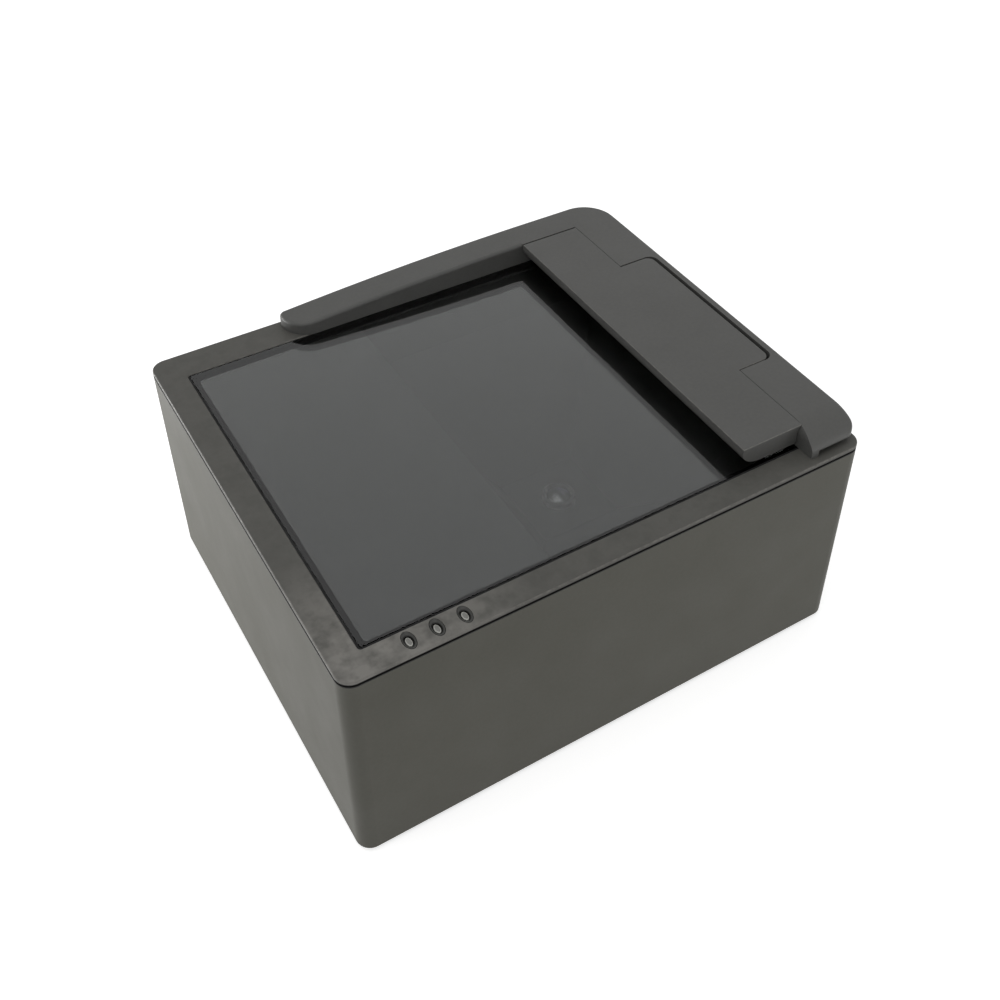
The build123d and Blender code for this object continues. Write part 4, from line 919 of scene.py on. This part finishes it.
def make_pad():
    """Foam strip with soft edges and a round hole over each screw."""
    low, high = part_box("flap_pad")
    deselect()
    bpy.ops.mesh.primitive_cube_add(size=1.0, location=(low + high) / 2)
    pad = bpy.context.object
    pad.name = "press_pad"
    pad.scale = high - low
    bpy.ops.object.transform_apply(location=True, rotation=False, scale=True)
    begin_edit(pad)
    pick_edges(lambda first, second: abs(first.z - second.z) > MM)
    bpy.ops.mesh.bevel(offset=PAD_CORNER, segments=PAD_CORNER_STEPS, affect="EDGES")
    pick_faces(facing((0, 0, -1)))
    bpy.ops.mesh.bevel(offset=PAD_EDGE, segments=PAD_EDGE_STEPS, affect="EDGES")
    bpy.ops.object.mode_set(mode="OBJECT")
    for number, pair in enumerate(solid_boxes("flap_screws")):
        head = middle_of(pair)
        radius = (pair[1].x - pair[0].x) / 2 + PAD_HOLE_GAP
        deselect()
        bpy.ops.mesh.primitive_cylinder_add(
            vertices=PUNCH_SIDES,
            radius=radius,
            depth=PUNCH_DEPTH,
            location=(head.x, head.y, low.z),
        )
        punch = bpy.context.object
        hole = pad.modifiers.new(f"hole_{number}", "BOOLEAN")
        hole.operation = "DIFFERENCE"
        hole.object = punch
        bpy.context.view_layer.objects.active = pad
        bpy.ops.object.modifier_apply(modifier=hole.name)
        bpy.data.objects.remove(punch)
    dressed(settle(pad), "pad_rubber", "flap_pad", body="flap")


# Data socket

TONGUE_EDGE = 0.22 * MM
TONGUE_NOSE = 0.3 * MM
TONGUE_NOSE_SIZE = (0.9, 1, 0.85)
CONTACT_WIDTH = 1.0 * MM
CONTACT_SETBACK = 1.0 * MM
CONTACT_WEB = 0.14 * MM
CONTACT_EDGE = CONTACT_WEB / 3
CONTACT_NOSE = 0.35 * MM
CONTACT_SHARES = (0.27, 0.73)


def make_tongue():
    """Socket tongue with a chamfered nose and four sprung contacts."""
    low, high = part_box("usb_tongue")
    tongue = cushioned("socket_tongue", low, high, TONGUE_EDGE)
    begin_edit(tongue)
    pick_faces(facing((0, 1, 0)))
    bpy.ops.mesh.inset(thickness=TONGUE_NOSE, depth=0)
    axis = middle_of((low, high)).xz
    pick_faces(lambda centre, normal: normal.y > STRAIGHT and (centre.xz - axis).length < MM)
    bpy.ops.transform.resize(value=TONGUE_NOSE_SIZE)
    bpy.ops.object.mode_set(mode="OBJECT")
    dressed(settle(tongue), "tongue_plastic", "usb_tongue")
    contacts = []
    for level, sense in ((high.z, 1), (low.z, -1)):
        for share in CONTACT_SHARES:
            x = low.x + share * (high.x - low.x)
            heights = sorted((level, level + sense * CONTACT_WEB))
            near = (x - CONTACT_WIDTH / 2, low.y, heights[0])
            far = (x + CONTACT_WIDTH / 2, high.y - CONTACT_SETBACK, heights[1])
            contact = cushioned(f"contact_{len(contacts)}", near, far, CONTACT_EDGE, 1)
            begin_edit(contact)
            pick_faces(facing((0, 1, 0)))
            grow_out((0, CONTACT_NOSE, -sense * CONTACT_WEB))
            bpy.ops.object.mode_set(mode="OBJECT")
            contacts.append(settle(contact))
    dressed(joined(contacts, "socket_contacts"), "copper")


# Camera lens: radius, and height from the barrel's top

BARREL_SECTION = (
    (6.00, -11.1), (6.00, -5.2), (5.72, -5.0), (5.72, -4.6), (6.00, -4.4), (6.00, -3.9),
    (5.80, -3.75), (5.80, -3.45), (6.00, -3.3), (6.00, -2.8), (5.80, -2.65), (5.80, -2.35),
    (6.00, -2.2), (6.00, -0.70), (5.45, -0.08), (5.30, 0.0), (5.10, 0.0), (5.04, -0.10),
    (5.04, -0.32), (4.86, -0.34), (4.84, -0.60), (4.68, -0.62), (4.66, -0.85), (4.60, -0.88),
    (4.60, -1.60), (3.90, -1.60), (3.90, -3.0), (4.20, -3.1), (4.20, -11.1),
)
LENS_RADIUS = 4.4
LENS_RISE = 1.6
LENS_EDGE = 0.1
LENS_TIP = 0.04
LENS_RINGS = 14


def make_lens():
    """Stepped barrel with grip ridges, and its domed front lens."""
    place = middle_of(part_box("lens_barrel"))
    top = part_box("lens_barrel")[1].z
    barrel = turned("lens_mount", place, BARREL_SECTION, top, sides=72, hollow=True)
    dressed(barrel, "lens_plastic", "lens_barrel")
    ball = (LENS_RADIUS**2 + LENS_RISE**2) / (2 * LENS_RISE)
    section = [(LENS_RADIUS - LENS_EDGE, -LENS_RISE)]
    for step in range(LENS_RINGS + 1):
        radius = max(LENS_RADIUS * math.cos(math.pi / 2 * step / LENS_RINGS), LENS_TIP)
        section.append((radius, math.sqrt(ball**2 - radius**2) - ball))
    front_lens = turned("front_lens", place, section, top, sides=64)
    dressed(front_lens, "lens_glass", "lens_glass")


# Light bars and indicator lamps

LAMP_EDGE = 0.10 * MM
# Shares of a lamp's width and depth, and the steps of its dome: rise and size
LAMP_RIM = 0.16
LAMP_WELL = 0.28
LAMP_WELL_SIZE = 0.88
DOME_GAP = 0.05
DOME_STEPS = ((0.34, 0.86), (0.24, 0.74), (0.12, 0.55))


def lamp(name, pair, out):
    """Lamp chip: square package with a sloped well and a low dome, facing out."""
    low, high = pair
    out = Vector(out)
    span = min(high[axis] - low[axis] for axis in range(3) if not out[axis])
    depth = abs((high - low).dot(out))
    package = cushioned(name, low, high, LAMP_EDGE, 1)
    begin_edit(package)
    pick_faces(facing(out))
    bpy.ops.mesh.inset(thickness=LAMP_RIM * span, depth=0)
    grow_out(out * -LAMP_WELL * depth, LAMP_WELL_SIZE)
    bpy.ops.mesh.inset(thickness=DOME_GAP * span, depth=0)
    for rise, size in DOME_STEPS:
        grow_out(out * rise * LAMP_WELL * depth, size)
    bpy.ops.object.mode_set(mode="OBJECT")
    return settle(package)


def make_lamps():
    """The rows of both light bars and the indicators' lamps."""
    rows = {
        "light_emitters_left": (1, 0, 0),
        "light_emitters_right": (-1, 0, 0),
        "indicator_emitters": (0, 0, 1),
    }
    for node, out in rows.items():
        boxes = solid_boxes(node)
        name = node.replace("emitters", "lamps")
        first = lamp(name, boxes[0], out)
        places = [middle_of(pair) for pair in boxes]
        dressed(repeated(first, name, places), "emitter", node)


RIB_COUNT = 84
RIB_ROUND = 0.34 * MM
RIB_STEPS = 3


def make_diffuser(name, node, towards):
    """Milky strip with upright ribs on the side of the page."""
    low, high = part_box(node)
    pitch = (high.y - low.y) / RIB_COUNT
    deselect()
    centre = ((low.x + high.x) / 2, low.y + pitch / 2, (low.z + high.z) / 2)
    bpy.ops.mesh.primitive_cube_add(size=1.0, location=centre)
    strip = bpy.context.object
    strip.name = name
    strip.scale = (high.x - low.x, pitch, high.z - low.z)
    bpy.ops.object.transform_apply(location=True, rotation=False, scale=True)
    begin_edit(strip)
    inner_x = high.x if towards > 0 else low.x
    pick_edges(
        lambda first, second: abs(first.z - second.z) > MM
        and abs(first.x - inner_x) < HAIR
        and abs(second.x - inner_x) < HAIR
    )
    bpy.ops.mesh.bevel(offset=RIB_ROUND, segments=RIB_STEPS, affect="EDGES")
    bpy.ops.mesh.select_mode(type="FACE")
    pick_faces(lambda centre, normal: abs(normal.y) > STRAIGHT)
    bpy.ops.mesh.delete(type="ONLY_FACE")
    bpy.ops.object.mode_set(mode="OBJECT")
    row = strip.modifiers.new("row", "ARRAY")
    row.count = RIB_COUNT
    row.use_relative_offset = False
    row.use_constant_offset = True
    row.constant_offset_displace = (0, pitch, 0)
    row.use_merge_vertices = True
    row.merge_threshold = WELD
    bpy.ops.object.modifier_apply(modifier="row")
    begin_edit(strip)
    for end_y in (low.y, high.y):
        pick_edges(
            lambda first, second: abs(first.y - end_y) < HAIR and abs(second.y - end_y) < HAIR
        )
        bpy.ops.mesh.edge_face_add()
    close_up()
    dressed(settle(strip), "diffuser_plastic", node)


# Board parts, with cans and buzzer: radius, and height from their foot

CAN_SECTION = (
    (3.16, 0.0), (3.20, 0.08), (3.20, 0.50), (2.92, 0.80), (2.92, 1.00), (3.20, 1.30),
    (3.20, 6.25), (3.12, 6.52), (2.92, 6.66), (2.70, 6.70), (2.60, 6.58), (0.10, 6.55),
)
CAN_FOOT = 0.8 * MM
CAN_FOOT_EDGE = 0.18 * MM
BUZZER_SECTION = (
    (5.85, 0.0), (6.0, 0.15), (6.0, 6.9), (5.7, 7.1), (5.7, 7.4), (6.0, 7.6), (6.0, 8.25),
    (5.75, 8.5), (5.1, 8.5), (4.9, 8.25), (2.1, 8.25), (1.9, 8.5), (1.35, 8.5), (1.2, 8.35),
    (1.2, 4.4), (0.1, 4.3),
)
CHIP_EDGE = 0.12 * MM
CHIP_LIFT = 0.08 * MM
LEG_SPAN = 0.7 * MM
LEG_WIDTH = 0.3 * MM
LEG_THICKNESS = 0.1 * MM
LEG_ROOT = 0.075 * MM
LEG_EDGE = 0.0075 * MM
LEG_HEIGHT = 0.5 * MM
LEG_DROP = 0.44 * MM
# Shares of the leg's span: its shoulder, its slope and its toe
LEG_RUNS = (0.22, 0.20, 0.45)
LEG_COUNT = 12


def make_capacitors():
    """Crimped aluminium cans, each on its square foot."""
    boxes = solid_boxes("capacitors")
    places = [middle_of(pair) for pair in boxes]
    low, high = boxes[0]
    foot_top = Vector((high.x, high.y, low.z + CAN_FOOT))
    foot = cushioned("can_foot", low, foot_top, CAN_FOOT_EDGE, 1)
    can = turned("can", places[0], CAN_SECTION, low.z + CAN_FOOT, sides=40)
    dressed(repeated(can, "capacitor_cans", places), "can_aluminium", "capacitors")
    dressed(repeated(foot, "capacitor_feet", places), "chip")


def make_buzzer():
    """Buzzer with a stepped rim and a sound hole."""
    low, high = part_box("buzzer")
    can = turned("buzzer_can", middle_of((low, high)), BUZZER_SECTION, low.z, sides=56)
    dressed(can, "buzzer_plastic", "buzzer")


def chip_leg(name, place, sense):
    """One bent leg of a chip."""
    half = [size / 2 for size in (LEG_ROOT, LEG_WIDTH, LEG_THICKNESS)]
    low = [middle - reach for middle, reach in zip(place, half)]
    high = [middle + reach for middle, reach in zip(place, half)]
    leg = cushioned(name, low, high, LEG_EDGE, 1)
    begin_edit(leg)
    pick_faces(facing((sense, 0, 0)))
    for share, drop in zip(LEG_RUNS, (0, LEG_DROP, 0)):
        grow_out((sense * share * LEG_SPAN, 0, -drop))
    bpy.ops.object.mode_set(mode="OBJECT")
    return settle(leg)


def make_memory():
    """Flat chips with rows of bent legs on both sides."""
    boxes = solid_boxes("memory_chips")
    places = [middle_of(pair) for pair in boxes]
    low, high = boxes[0]
    body_low = low + Vector((LEG_SPAN, 0, CHIP_LIFT))
    body_high = high - Vector((LEG_SPAN, 0, 0))
    chip = cushioned("chip_body", body_low, body_high, CHIP_EDGE, 1)
    legs = []
    level = low.z + LEG_HEIGHT
    for side_x, sense in ((body_low.x, -1), (body_high.x, 1)):
        for number in range(LEG_COUNT):
            y = low.y + (number + 0.5) * (high.y - low.y) / LEG_COUNT
            legs.append(chip_leg(f"leg_{sense}_{number}", (side_x, y, level), sense))
    row = joined(legs, "chip_leg_row")
    dressed(repeated(chip, "memory_bodies", places), "chip", "memory_chips")
    dressed(repeated(row, "memory_legs", places), "can_aluminium")


PLUG_EDGE = 0.25 * MM
PLUG_LIP = 0.6 * MM
PLUG_SLOT = 0.5 * MM


def make_plugs():
    """Lead connectors with softened edges and a sunk slot for the lead."""
    undersides = [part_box(board)[0].z for board in ("indicator_board", "antenna_board")]
    plugs = []
    for number, (low, high) in enumerate(solid_boxes("board_plugs")):
        hangs = any(abs(high.z - level) < HAIR for level in undersides)
        sense = -1 if hangs else 1
        plug = cushioned(f"plug_{number}", low, high, PLUG_EDGE)
        begin_edit(plug)
        pick_faces(facing((0, 0, sense)))
        bpy.ops.mesh.inset(thickness=PLUG_LIP, depth=0)
        grow_out((0, 0, -sense * PLUG_SLOT))
        bpy.ops.object.mode_set(mode="OBJECT")
        plugs.append(settle(plug))
    dressed(joined(plugs, "lead_plugs"), "plug_plastic", "board_plugs")


make_indicators()
make_feet()
make_springs()
make_pad()
make_tongue()
make_lens()
make_lamps()
make_diffuser("left_diffuser", "diffuser_left", 1)
make_diffuser("right_diffuser", "diffuser_right", -1)
make_capacitors()
make_buzzer()
make_memory()
make_plugs()
